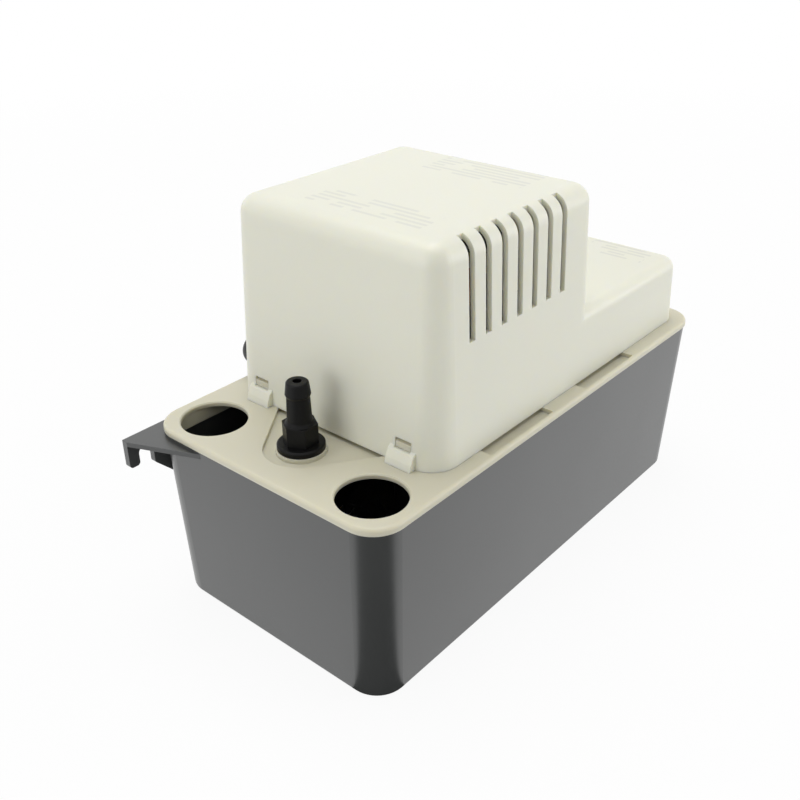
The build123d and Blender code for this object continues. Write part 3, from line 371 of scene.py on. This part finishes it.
class Finish:
    """A surface finish; material() builds it once and hands the same one out afterwards."""

    label: str

    def material(self) -> bpy.types.Material:
        """Returns the finish's material."""
        made = bpy.data.materials.get(self.label)
        if made is None:
            made = bpy.data.materials.new(self.label)
            made.use_nodes = True
            tree = Tree(made.node_tree)
            self.build(tree, made.node_tree.nodes["Principled BSDF"])
        return made

    def build(self, tree: Tree, shader: bpy.types.Node) -> None:
        """Builds the material's nodes; each kind of finish has its own."""
        raise NotImplementedError


@dataclass(frozen=True)
class Panel:
    """Rectangle on a top face where small print belongs; it is left as blank bars."""

    low: tuple[float, float]
    high: tuple[float, float]
    level: float
    pitch: float = 0.0036

    def place(self, tree: Tree) -> bpy.types.NodeSocket:
        """Puts the panel's bars into a material.

        Args:
            tree: The material's tree.

        Returns:
            The mask of its bars.
        """
        centre = [(low + high) / 2 for low, high in zip(self.low, self.high)]
        half = [(high - low) / 2 for low, high in zip(self.low, self.high)]
        return PanelEffect.place(tree, centre_x=centre[0], centre_y=centre[1], half_x=half[0],
                                 half_y=half[1], level=self.level, pitch=self.pitch)["Mask"]


@dataclass(frozen=True)
class Moulding(Finish):
    """Injection-moulded plastic with fine grain and rubbed edges."""

    label: str
    colour: Colour
    roughness: float = 0.42
    roughness_swing: float = 0.08
    grain_scale: float = 1500.0
    grain_depth: float = 0.5
    waviness: float = 0.25
    bump: float = 0.00004
    drift: float = 0.05
    drift_scale: float = 18.0
    edge_radius: float = 0.0004
    edge_share: float = 0.35
    edge_gain: float = 1.12
    edge_lift: float = 0.01
    mottle_range: tuple[float, float] = (0.1, 0.4)
    specular: float = 0.5
    skin: float = 0.0
    skin_index: float = 1.3
    scatter: float = 0.0
    scatter_depth: float = 0.002
    scatter_tint: Colour = (1.0, 0.85, 0.5)
    panels: tuple[Panel, ...] = ()
    print_colour: Colour = (0.45, 0.46, 0.46)
    print_share: float = 0.26

    def build(self, tree: Tree, shader: bpy.types.Node) -> None:
        """Builds the plastic.

        Args:
            tree: The material's tree.
            shader: Its Principled shader.
        """
        drift = DriftEffect.place(tree, colour=self.colour, amount=self.drift, scale=self.drift_scale)
        edges = EdgeEffect.place(tree, radius=self.edge_radius, wear=self.edge_share)
        grain = GrainEffect.place(tree, scale=self.grain_scale, depth=self.grain_depth,
                                  waviness=self.waviness)
        rubbed = tuple(min(1.0, self.edge_gain * part + self.edge_lift) for part in self.colour)
        colour = tree.mix(edges["Mask"], drift["Colour"], rubbed)
        for panel in self.panels:
            ink = tree.math("MULTIPLY", panel.place(tree), self.print_share)
            colour = tree.mix(ink, colour, self.print_colour)
        tree.feed(shader.inputs["Base Color"], colour)
        low, high = self.roughness - self.roughness_swing, self.roughness + self.roughness_swing
        mottled = tree.math("MULTIPLY", grain["Mask"], drift["Mask"])
        tree.feed(shader.inputs["Roughness"], tree.span(mottled, self.mottle_range, (low, high)))
        bump = tree.add("ShaderNodeBump")
        bump.inputs["Distance"].default_value = self.bump
        tree.feed(bump.inputs["Height"], grain["Height"])
        tree.feed(bump.inputs["Normal"], edges["Normal"])
        tree.feed(shader.inputs["Normal"], bump.outputs["Normal"])
        shader.inputs["Specular IOR Level"].default_value = self.specular
        shader.inputs["Coat Weight"].default_value = self.skin
        shader.inputs["Coat Roughness"].default_value = self.roughness
        shader.inputs["Coat IOR"].default_value = self.skin_index
        shader.inputs["Subsurface Weight"].default_value = self.scatter
        shader.inputs["Subsurface Radius"].default_value = self.scatter_tint
        shader.inputs["Subsurface Scale"].default_value = self.scatter_depth


class MetalTexture(Enum):
    """How a metal's surface was left."""

    CAST = "cast"
    DRAWN = "drawn"
    PLATED = "plated"
    TURNED = "turned"


@dataclass(frozen=True)
class Metal(Finish):
    """Bare, cast or plated metal with marks of its making."""

    label: str
    colour: Colour
    texture: MetalTexture
    roughness: float = 0.35
    stretch: Point = (1.0, 1.0, 1.0)
    scale: float = 900.0
    bump: float = 0.00003
    drift: float = 0.16
    drift_scale: float = 55.0
    edge_radius: float = 0.00025
    edge_share: float = 0.6
    edge_gain: float = 1.2
    stain_range: tuple[float, float] = (0.55, 0.75)
    stain_share: float = 0.6
    stain_tone: float = 0.72

    def build(self, tree: Tree, shader: bpy.types.Node) -> None:
        """Builds the metal.

        Args:
            tree: The material's tree.
            shader: Its Principled shader.
        """
        where = tree.add("ShaderNodeTexCoord").outputs["Object"]
        mapping = tree.add("ShaderNodeMapping")
        mapping.inputs["Scale"].default_value = self.stretch
        tree.feed(mapping.inputs["Vector"], where)
        rough = self.texture in (MetalTexture.CAST, MetalTexture.PLATED)
        detail = 6.0 if self.texture is MetalTexture.CAST else 2.0
        spread = 0.12 if rough else 0.06
        marks = tree.noise(mapping.outputs["Vector"], self.scale, detail=detail, roughness=0.65)
        drift = DriftEffect.place(tree, colour=self.colour, amount=self.drift, scale=self.drift_scale)
        edges = EdgeEffect.place(tree, radius=self.edge_radius, wear=self.edge_share)
        stain = tree.span(drift["Mask"], self.stain_range, (0.0, self.stain_share))
        dull = tuple(self.stain_tone * part for part in self.colour)
        stained = tree.mix(stain, drift["Colour"], dull)
        bright = tuple(min(1.0, self.edge_gain * part) for part in self.colour)
        tree.feed(shader.inputs["Base Color"], tree.mix(edges["Mask"], stained, bright))
        shader.inputs["Metallic"].default_value = 1.0
        low, high = self.roughness - spread, self.roughness + spread
        tree.feed(shader.inputs["Roughness"], tree.span(marks, NOISE_RANGE, (low, high)))
        bump = tree.add("ShaderNodeBump")
        bump.inputs["Distance"].default_value = self.bump
        tree.feed(bump.inputs["Height"], marks)
        tree.feed(bump.inputs["Normal"], edges["Normal"])
        tree.feed(shader.inputs["Normal"], bump.outputs["Normal"])


@dataclass(frozen=True)
class Layered(Finish):
    """Metal in fine layers: edges of stacked sheet, or turns of wire side by side."""

    label: str
    colour: Colour
    layer: float = 0.0005
    metallic: float = 0.6
    bump: float = 0.00008
    ripple: float = 0.4
    gap_tone: float = 0.35
    gap_share: float = 0.5
    drift: float = 0.5
    drift_scale: float = 90.0
    gloss: tuple[float, float] = (0.3, 0.5)

    def build(self, tree: Tree, shader: bpy.types.Node) -> None:
        """Builds the layers' lines.

        Args:
            tree: The material's tree.
            shader: Its Principled shader.
        """
        where = tree.add("ShaderNodeTexCoord").outputs["Object"]
        wave = tree.add("ShaderNodeTexWave", wave_type="BANDS", bands_direction="Z")
        wave.inputs["Scale"].default_value = 1.0 / (2 * math.pi * self.layer)
        wave.inputs["Distortion"].default_value = self.ripple
        tree.feed(wave.inputs["Vector"], where)
        drift = DriftEffect.place(tree, colour=self.colour, amount=self.drift, scale=self.drift_scale)
        gap = tree.math("MULTIPLY", wave.outputs["Fac"], self.gap_share)
        colour = tree.mix(gap, drift["Colour"], tuple(self.gap_tone * part for part in self.colour))
        tree.feed(shader.inputs["Base Color"], colour)
        shader.inputs["Metallic"].default_value = self.metallic
        tree.feed(shader.inputs["Roughness"], tree.span(drift["Mask"], NOISE_RANGE, self.gloss))
        bump = tree.add("ShaderNodeBump")
        bump.inputs["Distance"].default_value = self.bump
        tree.feed(bump.inputs["Height"], wave.outputs["Fac"])
        tree.feed(shader.inputs["Normal"], bump.outputs["Normal"])


@dataclass(frozen=True)
class StudioWhite(Finish):
    """White floor or backdrop that stays white in view and still takes a shadow."""

    label: str
    shade: float = 0.9
    glow: float = 0.92
    shadow_reach: float = 0.4
    glow_reach: float = 1.2
    fibre_scale: float = 14.0
    fibre_swing: float = 0.01
    roughness: float = 0.9

    def build(self, tree: Tree, shader: bpy.types.Node) -> None:
        """Builds the studio surface.

        Args:
            tree: The material's tree.
            shader: Its Principled shader.
        """
        where = tree.add("ShaderNodeTexCoord").outputs["Object"]
        fibre = tree.noise(where, self.fibre_scale, detail=3.0)
        low, high = self.shade - self.fibre_swing, self.shade + self.fibre_swing
        tone = tree.span(fibre, NOISE_RANGE, (low, high))
        grey = tree.add("ShaderNodeCombineColor")
        for channel in ("Red", "Green", "Blue"):
            tree.feed(grey.inputs[channel], tone)
        tree.feed(shader.inputs["Base Color"], grey.outputs["Color"])
        shader.inputs["Roughness"].default_value = self.roughness
        shader.inputs["Specular IOR Level"].default_value = 0.0
        light = tree.add("ShaderNodeEmission")
        light.inputs["Color"].default_value = (1.0, 1.0, 1.0, 1.0)
        seen = tree.add("ShaderNodeLightPath")
        direct = tree.math("MAXIMUM", seen.outputs["Is Camera Ray"], seen.outputs["Is Glossy Ray"])
        reach = tree.add("ShaderNodeVectorMath", operation="LENGTH")
        tree.feed(reach.inputs[0], where)
        glow = tree.span(reach.outputs["Value"], (self.shadow_reach, self.glow_reach),
                         (self.glow, 1.0))
        share = tree.math("MULTIPLY", direct, glow)
        both = tree.add("ShaderNodeMixShader")
        tree.feed(both.inputs[0], share)
        tree.feed(both.inputs[1], shader.outputs[0])
        tree.feed(both.inputs[2], light.outputs[0])
        output = tree.tree.nodes["Material Output"]
        tree.feed(output.inputs["Surface"], both.outputs[0])


COVER_PANELS = (Panel((-0.0655, -0.034), (-0.047, 0.026), 0.176),
                Panel((0.0, -0.034), (0.023, 0.018), 0.176),
                Panel((0.093, -0.046), (0.111, -0.012), 0.118))
COVER_CREAM = Moulding("cover_cream", (0.775, 0.77, 0.66), roughness=0.38, drift=0.03, scatter=0.5,
                       scatter_depth=0.004, panels=COVER_PANELS)
DECK_CREAM = Moulding("deck_cream", (0.63, 0.603, 0.478), roughness=0.44, drift=0.04, scatter=0.5,
                      scatter_depth=0.004)
TANK_GREY = Moulding("tank_grey", (0.050, 0.0527, 0.052), roughness=0.34, roughness_swing=0.04,
                     grain_depth=0.2, bump=0.00002, drift=0.08, edge_share=0.5, specular=0.6,
                     skin=0.6)
VALVE_BLACK = Moulding("valve_black", (0.004, 0.004, 0.004), roughness=0.42, drift=0.2,
                       grain_depth=0.3, specular=0.16)
GLAND_BLACK = Moulding("gland_black", (0.014, 0.014, 0.015), roughness=0.45, drift=0.2)
PUMP_GREY = Moulding("pump_charcoal", (0.045, 0.046, 0.05), roughness=0.42, drift=0.15)
FAN_GREY = Moulding("fan_charcoal", (0.06, 0.062, 0.066), roughness=0.4, drift=0.1)
SWITCH_BLACK = Moulding("switch_black", (0.02, 0.02, 0.021), roughness=0.5, drift=0.2)
ACETAL_WHITE = Moulding("acetal_white", (0.78, 0.78, 0.75), roughness=0.35, drift=0.04)
FLOAT_WHITE = Moulding("float_shell", (0.70, 0.70, 0.66), roughness=0.5, grain_scale=700.0,
                       drift=0.08)
TUBE_RUBBER = Moulding("tube_rubber", (0.018, 0.018, 0.018), roughness=0.62, grain_scale=2200.0,
                       bump=0.00006, drift=0.3)
SEAL_RUBBER = Moulding("seal_rubber", (0.015, 0.015, 0.015), roughness=0.55, drift=0.2)
SPRING_STEEL = Metal("spring_steel", (0.56, 0.55, 0.53), MetalTexture.DRAWN, roughness=0.3)
ZINC_PLATE = Metal("zinc_plate", (0.62, 0.62, 0.60), MetalTexture.PLATED, roughness=0.36)
GROUND_STEEL = Metal("ground_steel", (0.66, 0.66, 0.66), MetalTexture.TURNED, roughness=0.22,
                     stretch=(1.0, 1.0, 8.0))
CAST_ALLOY = Metal("cast_alloy", (0.60, 0.60, 0.60), MetalTexture.CAST, roughness=0.5, bump=0.00008)
SINTERED_BRONZE = Metal("sintered_bronze", (0.62, 0.42, 0.2), MetalTexture.CAST, roughness=0.42)
COPPER_WIRE = Layered("enamelled_copper", (0.50, 0.19, 0.075), layer=0.0006, metallic=0.8,
                      bump=0.0002)
SHEET_STACK = Layered("sheet_stack", (0.17, 0.175, 0.18))
FLAG_BLACK = Moulding("flag_cloth", (0.004, 0.004, 0.004), roughness=0.9, specular=0.0)


# ------------------------------------------------------------------ mesh helpers


class Builder:
    """Makes one mesh piece out of bmesh parts."""

    def __init__(self, name: str) -> None:
        """Starts an empty mesh under the piece's name."""
        self.name = name
        self.mesh = bmesh.new()

    def strip(self, line: Sequence[Vector], along: Vector, width: float, sheet: float) -> None:
        """Adds a bent strip of sheet metal.

        Args:
            line: Its middle line, seen on edge.
            along: Direction of its width.
            width: Its width.
            sheet: Its thickness.
        """
        rows = []
        for index, point in enumerate(line):
            before, after = line[max(index - 1, 0)], line[min(index + 1, len(line) - 1)]
            side = (after - before).normalized().cross(along) * (sheet / 2)
            half = along * (width / 2)
            rows.append([self.mesh.verts.new(point + offset)
                         for offset in (half + side, half - side, -half - side, -half + side)])
        self.skin(rows)

    def wire(self, line: Sequence[Vector], axis: Vector, radius: float, sides: int = 10) -> None:
        """Adds a round wire.

        Args:
            line: Its middle line.
            axis: A direction that the line never runs along.
            radius: Its radius.
            sides: Number of corners of its section.
        """
        rows = []
        for index, point in enumerate(line):
            before, after = line[max(index - 1, 0)], line[min(index + 1, len(line) - 1)]
            course = (after - before).normalized()
            across = course.cross(axis).normalized()
            up = across.cross(course)
            turns = [math.tau * side / sides for side in range(sides)]
            rows.append([self.mesh.verts.new(
                point + radius * (math.cos(turn) * across + math.sin(turn) * up)) for turn in turns])
        self.skin(rows)

    def skin(self, rows: Sequence[Sequence[bmesh.types.BMVert]]) -> None:
        """Joins sections of equal length into one body with closed ends.

        Args:
            rows: Corners of each section.
        """
        self.bridge(zip(rows, rows[1:]))
        self.mesh.faces.new(rows[0])
        self.mesh.faces.new(rows[-1])

    def bridge(self, pairs: Iterable[tuple[Sequence[bmesh.types.BMVert],
                                           Sequence[bmesh.types.BMVert]]]) -> None:
        """Adds the faces between neighbouring sections.

        Args:
            pairs: Corners of each section and of the next.
        """
        for near, far in pairs:
            for index in range(len(near)):
                after = (index + 1) % len(near)
                self.mesh.faces.new((near[index], near[after], far[after], far[index]))

    def loop_skin(self, rows: Sequence[Sequence[Vector]]) -> None:
        """Adds a closed ring with the same section at each row.

        Args:
            rows: Points of the section at each place round the ring.
        """
        made = [[self.mesh.verts.new(point) for point in row] for row in rows]
        self.bridge(zip(made, made[1:] + made[:1]))

    def finish(self, body: Body, finish: Finish, slot: str,
               bevel: float = 0.0) -> bpy.types.Object:
        """Turns the mesh into a dressed piece that rides on a body.

        Args:
            body: The body that carries it.
            finish: Its finish.
            slot: Name of the finish's slot; it is not used.
            bevel: Width of its edges' break, 0 for none.

        Returns:
            The piece.
        """
        bmesh.ops.recalc_face_normals(self.mesh, faces=self.mesh.faces)
        data = bpy.data.meshes.new(self.name)
        self.mesh.to_mesh(data)
        self.mesh.free()
        piece = bpy.data.objects.new(self.name, data)
        bpy.context.scene.collection.objects.link(piece)
        data.materials.append(finish.material())
        data.shade_smooth()
        data.set_sharp_from_angle(angle=SMOOTH_ANGLE)
        if bevel > 0.0:
            edge = piece.modifiers.new("edge_break", "BEVEL")
            edge.width = bevel
            edge.segments = 2
            edge.limit_method = "ANGLE"
            edge.angle_limit = BREAK_ANGLE
        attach(piece, body.value)
        log.info("piece %s on %s", self.name, body.value)
        return piece


def dress(nodes: Iterable[str], finish: Finish) -> None:
    """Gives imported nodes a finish.

    Args:
        nodes: Their names.
        finish: The finish.
    """
    for node in nodes:
        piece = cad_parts[node]
        for index in range(len(piece.material_slots)):
            piece.material_slots[index].material = finish.material()
        log.info("node %s dressed in %s", node, finish.label)


# ------------------------------------------------------------------ sub-assemblies


@dataclass
class ReservoirTank:
    """Grey tank with its two hanger ears."""

    finish: Finish = TANK_GREY

    def build(self) -> None:
        """Dresses the tank."""
        dress(["tank"], self.finish)


@dataclass
class Deck:
    """Cream deck that closes the tank."""

    finish: Finish = DECK_CREAM

    def build(self) -> None:
        """Dresses the deck."""
        dress(["deck"], self.finish)


@dataclass
class MotorCover:
    """Vented cream cover and its cord gland."""

    finish: Finish = COVER_CREAM

    def build(self) -> None:
        """Dresses the cover and the gland."""
        dress(["motor_cover"], self.finish)
        dress(["cord_gland", "gland_nut"], GLAND_BLACK)


@dataclass
class ValveSpring:
    """Wire spring over the valve's poppet, made at one fixed length; the real one shortens as the
    poppet lifts.

    The free turns rise evenly; the dead turns at each end lie nearly wire on wire.
    """

    centre: tuple[float, float] = (-99.0 * MM, 0.0)
    foot: float = 90.52 * MM
    roof: float = 96.88 * MM
    coil_radius: float = 2.6 * MM
    wire_radius: float = 0.32 * MM
    free_turns: float = 3.0
    dead_turns: float = 0.75
    dead_pitch: float = 0.672 * MM
    steps_per_turn: int = 20
    poppet_lift: float = 2.5 * MM

    def build(self) -> None:
        """Makes the coil with a flat turn at each end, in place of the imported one."""
        builder = Builder("valve_coil")
        low, high = self.foot + self.wire_radius, self.roof - self.wire_radius
        dead_rise = self.dead_pitch * self.dead_turns
        turns = self.free_turns + 2.0 * self.dead_turns
        line = []
        for step in range(round(turns * self.steps_per_turn) + 1):
            turn = step / self.steps_per_turn
            free = min(max(turn - self.dead_turns, 0.0), self.free_turns) / self.free_turns
            dead = min(turn, self.dead_turns) + max(turn - self.dead_turns - self.free_turns, 0.0)
            rise = dead / self.dead_turns * dead_rise + free * (high - low - 2.0 * dead_rise)
            spoke = Vector((math.cos(math.tau * turn), math.sin(math.tau * turn), 0.0))
            line.append(Vector((*self.centre, low + rise)) + self.coil_radius * spoke)
        builder.wire(line, Vector((0.0, 0.0, 1.0)), self.wire_radius)
        piece = builder.finish(Body.PUMP_HEAD, SPRING_STEEL, "spring_steel")
        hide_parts("valve_spring")
        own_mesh(piece)


@dataclass
class CheckValve:
    """Barbed outlet with its poppet, spring and seal."""

    spring: ValveSpring = field(default_factory=ValveSpring)

    def build(self) -> None:
        """Dresses the valve and makes its spring."""
        self.spring.build()
        dress(["valve_seat", "valve_body"], VALVE_BLACK)
        dress(["valve_o_ring"], SEAL_RUBBER)
        dress(["valve_poppet"], ACETAL_WHITE)


@dataclass
class ClampTangs:
    """The two bent ends of a spring clamp, by which pliers open it.

    Each end leaves the band at its foot, turns outwards at the heel and splays at the tip.
    """

    name: str
    centre: Point
    axis: Point
    outward: Point
    band_radius: float = 9.1 * MM
    width: float = 5.4 * MM
    sheet: float = 0.8 * MM
    reach: float = 5.2 * MM
    half_gap: float = 2.2 * MM
    sink: float = 0.3 * MM
    foot_run: float = 2.6 * MM
    foot_drop: float = 0.45 * MM
    heel_run: float = 0.8 * MM
    heel_rise: float = 0.9 * MM
    upright_share: float = 0.6
    splay: float = 0.9 * MM
    edge_break: float = 0.15 * MM

    def build(self) -> None:
        """Makes both ends as one bent strip each."""
        builder = Builder(self.name)
        along, out = Vector(self.axis).normalized(), Vector(self.outward).normalized()
        across = along.cross(out)
        foot, gap = self.band_radius - self.sink, self.half_gap
        line = [(gap + self.foot_run, foot - self.foot_drop), (gap + self.heel_run, foot),
                (gap, foot + self.heel_rise), (gap, foot + self.upright_share * self.reach),
                (gap + self.splay, foot + self.reach)]
        for side in (-1.0, 1.0):
            builder.strip([Vector(self.centre) + side * x * across + y * out for x, y in line],
                          along, self.width, self.sheet)
        builder.finish(Body.PUMP_HEAD, SPRING_STEEL, "spring_steel", bevel=self.edge_break)


@dataclass
class PumpUnit:
    """Volute, column and discharge tube under the deck."""

    clamps: tuple[ClampTangs, ...] = (
        ClampTangs("clamp_tangs_lower", (-59.886 * MM, 14.36 * MM, 13.5 * MM),
                   (-0.9388, -0.3446, 0.0), (0.0, 0.0, 1.0)),
        ClampTangs("clamp_tangs_upper", (-99.0 * MM, 0.0, 79.1 * MM), (0.0, 0.0, 1.0),
                   (0.5, -0.866, 0.0)))

    def build(self) -> None:
        """Dresses the pump and makes the ends of its clamps."""
        for clamp in self.clamps:
            clamp.build()
        dress(["volute_case", "inlet_plate", "pump_column"], PUMP_GREY)
        dress(["impeller"], ACETAL_WHITE)
        dress(["discharge_tube"], TUBE_RUBBER)
        dress(["tube_clamps"], SPRING_STEEL)
        dress(["column_screws"], ZINC_PLATE)


@dataclass
class MotorUnit:
    """Shaded motor, its brackets, windings, shaft and fan."""

    def build(self) -> None:
        """Dresses the motor."""
        dress(["lower_endbell", "upper_endbell"], CAST_ALLOY)
        dress(["lower_bearing", "upper_bearing"], SINTERED_BRONZE)
        dress(["stator_core", "rotor_core"], SHEET_STACK)
        dress(["lower_winding", "upper_winding"], COPPER_WIRE)
        dress(["motor_shaft"], GROUND_STEEL)
        dress(["motor_screws"], ZINC_PLATE)
        dress(["cooling_fan"], FAN_GREY)
        dress(["shaft_slinger"], SEAL_RUBBER)


@dataclass
class FloatSeam:
    """Weld bead round the float, where its two shells meet."""

    centre: Point = (83.0 * MM, 0.0, 38.0 * MM)
    half_length: float = 23.0 * MM
    half_width: float = 28.0 * MM
    corner: float = 5.0 * MM
    proud: float = 0.5 * MM
    sink: float = 0.3 * MM
    height: float = 1.6 * MM
    corner_steps: int = 6

    def build(self) -> None:
        """Makes the bead as a half-round section swept round the float."""
        builder = Builder("float_weld_bead")
        path = []
        for quarter, (sign_x, sign_y) in enumerate(((1, 1), (-1, 1), (-1, -1), (1, -1))):
            hub = Vector(self.centre) + Vector((sign_x * (self.half_length - self.corner),
                                                sign_y * (self.half_width - self.corner), 0.0))
            for step in range(self.corner_steps + 1):
                angle = math.radians(90.0 * (quarter + step / self.corner_steps))
                normal = Vector((math.cos(angle), math.sin(angle), 0.0))
                path.append((hub + self.corner * normal, normal))
        shoulder = 0.6 * self.proud
        section = [(-self.sink, -0.5), (shoulder, -0.4), (self.proud, 0.0), (shoulder, 0.4),
                   (-self.sink, 0.5)]
        rows = [[point + out * normal + Vector((0.0, 0.0, up * self.height)) for out, up in section]
                for point, normal in path]
        builder.loop_skin(rows)
        builder.finish(Body.FLOAT, FLOAT_WHITE, "foam")


@dataclass
class FloatSwitch:
    """Float, arm, push rod and the two snap switches."""

    seam: FloatSeam = field(default_factory=FloatSeam)

    def build(self) -> None:
        """Dresses the float switch and makes the float's weld bead."""
        self.seam.build()
        dress(["float_body"], FLOAT_WHITE)
        dress(["float_arm", "push_rod"], ACETAL_WHITE)
        dress(["float_pivot_pin"], GROUND_STEEL)
        dress(["float_screw", "switch_screws", "switch_bracket"], ZINC_PLATE)
        dress(["run_switch", "safety_switch"], SWITCH_BLACK)
        dress(["run_switch_lever", "safety_switch_lever"], SPRING_STEEL)


# ------------------------------------------------------------------ studio


@dataclass
class Lamp:
    """One soft area lamp."""

    name: str
    place: Point
    aim: Point
    size: float
    watts: float

    def build(self) -> None:
        """Makes the lamp and turns it to its aim."""
        data = bpy.data.lights.new(self.name, "AREA")
        data.shape = "DISK"
        data.size = self.size
        data.energy = self.watts
        lamp = bpy.data.objects.new(self.name, data)
        lamp.location = self.place
        lamp.rotation_mode = "QUATERNION"
        lamp.rotation_quaternion = (Vector(self.aim) - Vector(self.place)).to_track_quat("-Z", "Y")
        bpy.context.scene.collection.objects.link(lamp)


@dataclass
class Studio:
    """White floor, dark card, soft light and the camera. Angles are in degrees."""

    camera_place: Point = (-0.3271, -0.2487, 0.2947)
    heading: float = -49.410
    elevation: float = 29.098
    roll: float = -0.494
    lens: float = 43.35
    sensor: float = 36.0
    clip: tuple[float, float] = (0.01, 50.0)
    floor_half: float = 6.0
    flag_corner: Point = (-0.11, -0.05, 0.0005)
    flag_half_angle: float = 58.0
    flag_reach: float = 0.24
    flag_steps: int = 8
    world_level: float = 0.42
    lamps: list[Lamp] = field(default_factory=lambda: [
        Lamp("top_softbox", (0.1, 0.25, 1.4), (0.0, 0.0, 0.08), 1.2, 11.2),
        Lamp("inlet_end_softbox", (-1.5, 0.3, 0.4), (0.0, 0.0, 0.08), 1.0, 6.4),
        Lamp("near_side_softbox", (1.0, -1.2, 0.35), (0.05, 0.0, 0.08), 1.1, 10.2),
    ])

    def build(self) -> None:
        """Makes floor, world, lamps and camera."""
        self.make_floor()
        self.make_flag()
        self.make_world()
        for lamp in self.lamps:
            lamp.build()
        self.make_camera()
        bpy.context.scene.view_settings.view_transform = "Standard"

    def make_floor(self) -> None:
        """Makes the white floor under the tank's foot."""
        half = self.floor_half
        data = bpy.data.meshes.new("floor")
        corners = [(-half, -half, 0.0), (half, -half, 0.0), (half, half, 0.0), (-half, half, 0.0)]
        data.from_pydata(corners, [], [(0, 1, 2, 3)])
        floor = bpy.data.objects.new("floor", data)
        bpy.context.scene.collection.objects.link(floor)
        data.materials.append(StudioWhite("studio_floor").material())

    def make_flag(self) -> None:
        """Makes the dark fan-shaped card before the near corner, which only reflections see."""
        corner = Vector(self.flag_corner)
        toward = Vector(self.camera_place) - corner
        toward.z = 0.0
        toward.normalize()
        points = [corner]
        for step in range(self.flag_steps + 1):
            angle = math.radians(self.flag_half_angle * (2.0 * step / self.flag_steps - 1.0))
            points.append(corner + self.flag_reach * (Matrix.Rotation(angle, 3, "Z") @ toward))
        data = bpy.data.meshes.new("black_flag")
        data.from_pydata([tuple(point) for point in points], [], [tuple(range(len(points)))])
        flag = bpy.data.objects.new("black_flag", data)
        bpy.context.scene.collection.objects.link(flag)
        data.materials.append(FLAG_BLACK.material())
        flag.visible_camera = False
        flag.visible_diffuse = False
        flag.visible_shadow = False

    def make_world(self) -> None:
        """Makes an even white surround that is plain white in view."""
        world = bpy.data.worlds.new("studio")
        bpy.context.scene.world = world
        world.use_nodes = True
        tree = Tree(world.node_tree)
        seen = tree.add("ShaderNodeLightPath")
        direct = tree.math("MAXIMUM", seen.outputs["Is Camera Ray"],
                           tree.math("MAXIMUM", seen.outputs["Is Transmission Ray"],
                                     seen.outputs["Is Glossy Ray"]))
        level = tree.math("ADD", tree.math("MULTIPLY", direct, 1.0 - self.world_level),
                          self.world_level)
        background = world.node_tree.nodes["Background"]
        background.inputs["Color"].default_value = (1.0, 1.0, 1.0, 1.0)
        tree.feed(background.inputs["Strength"], level)

    def make_camera(self) -> None:
        """Makes the camera at the catalogue view."""
        data = bpy.data.cameras.new("camera")
        data.lens = self.lens
        data.sensor_width = self.sensor
        data.clip_start, data.clip_end = self.clip
        camera = bpy.data.objects.new("camera", data)
        bpy.context.scene.collection.objects.link(camera)
        turn = Matrix.Rotation(math.radians(self.heading), 4, "Z")
        tilt = Matrix.Rotation(math.radians(90.0 - self.elevation), 4, "X")
        lean = Matrix.Rotation(math.radians(self.roll), 4, "Z")
        camera.matrix_world = Matrix.Translation(self.camera_place) @ turn @ tilt @ lean
        bpy.context.scene.camera = camera


def main() -> None:
    """Builds the studio and every sub-assembly in order."""
    logging.basicConfig(level=logging.INFO, format="%(name)s: %(message)s")
    Studio().build()
    for assembly in (ReservoirTank(), Deck(), MotorCover(), CheckValve(), PumpUnit(), MotorUnit(),
                     FloatSwitch()):
        assembly.build()
        log.info("built %s", type(assembly).__name__)


if __name__ == "__main__":
    main()
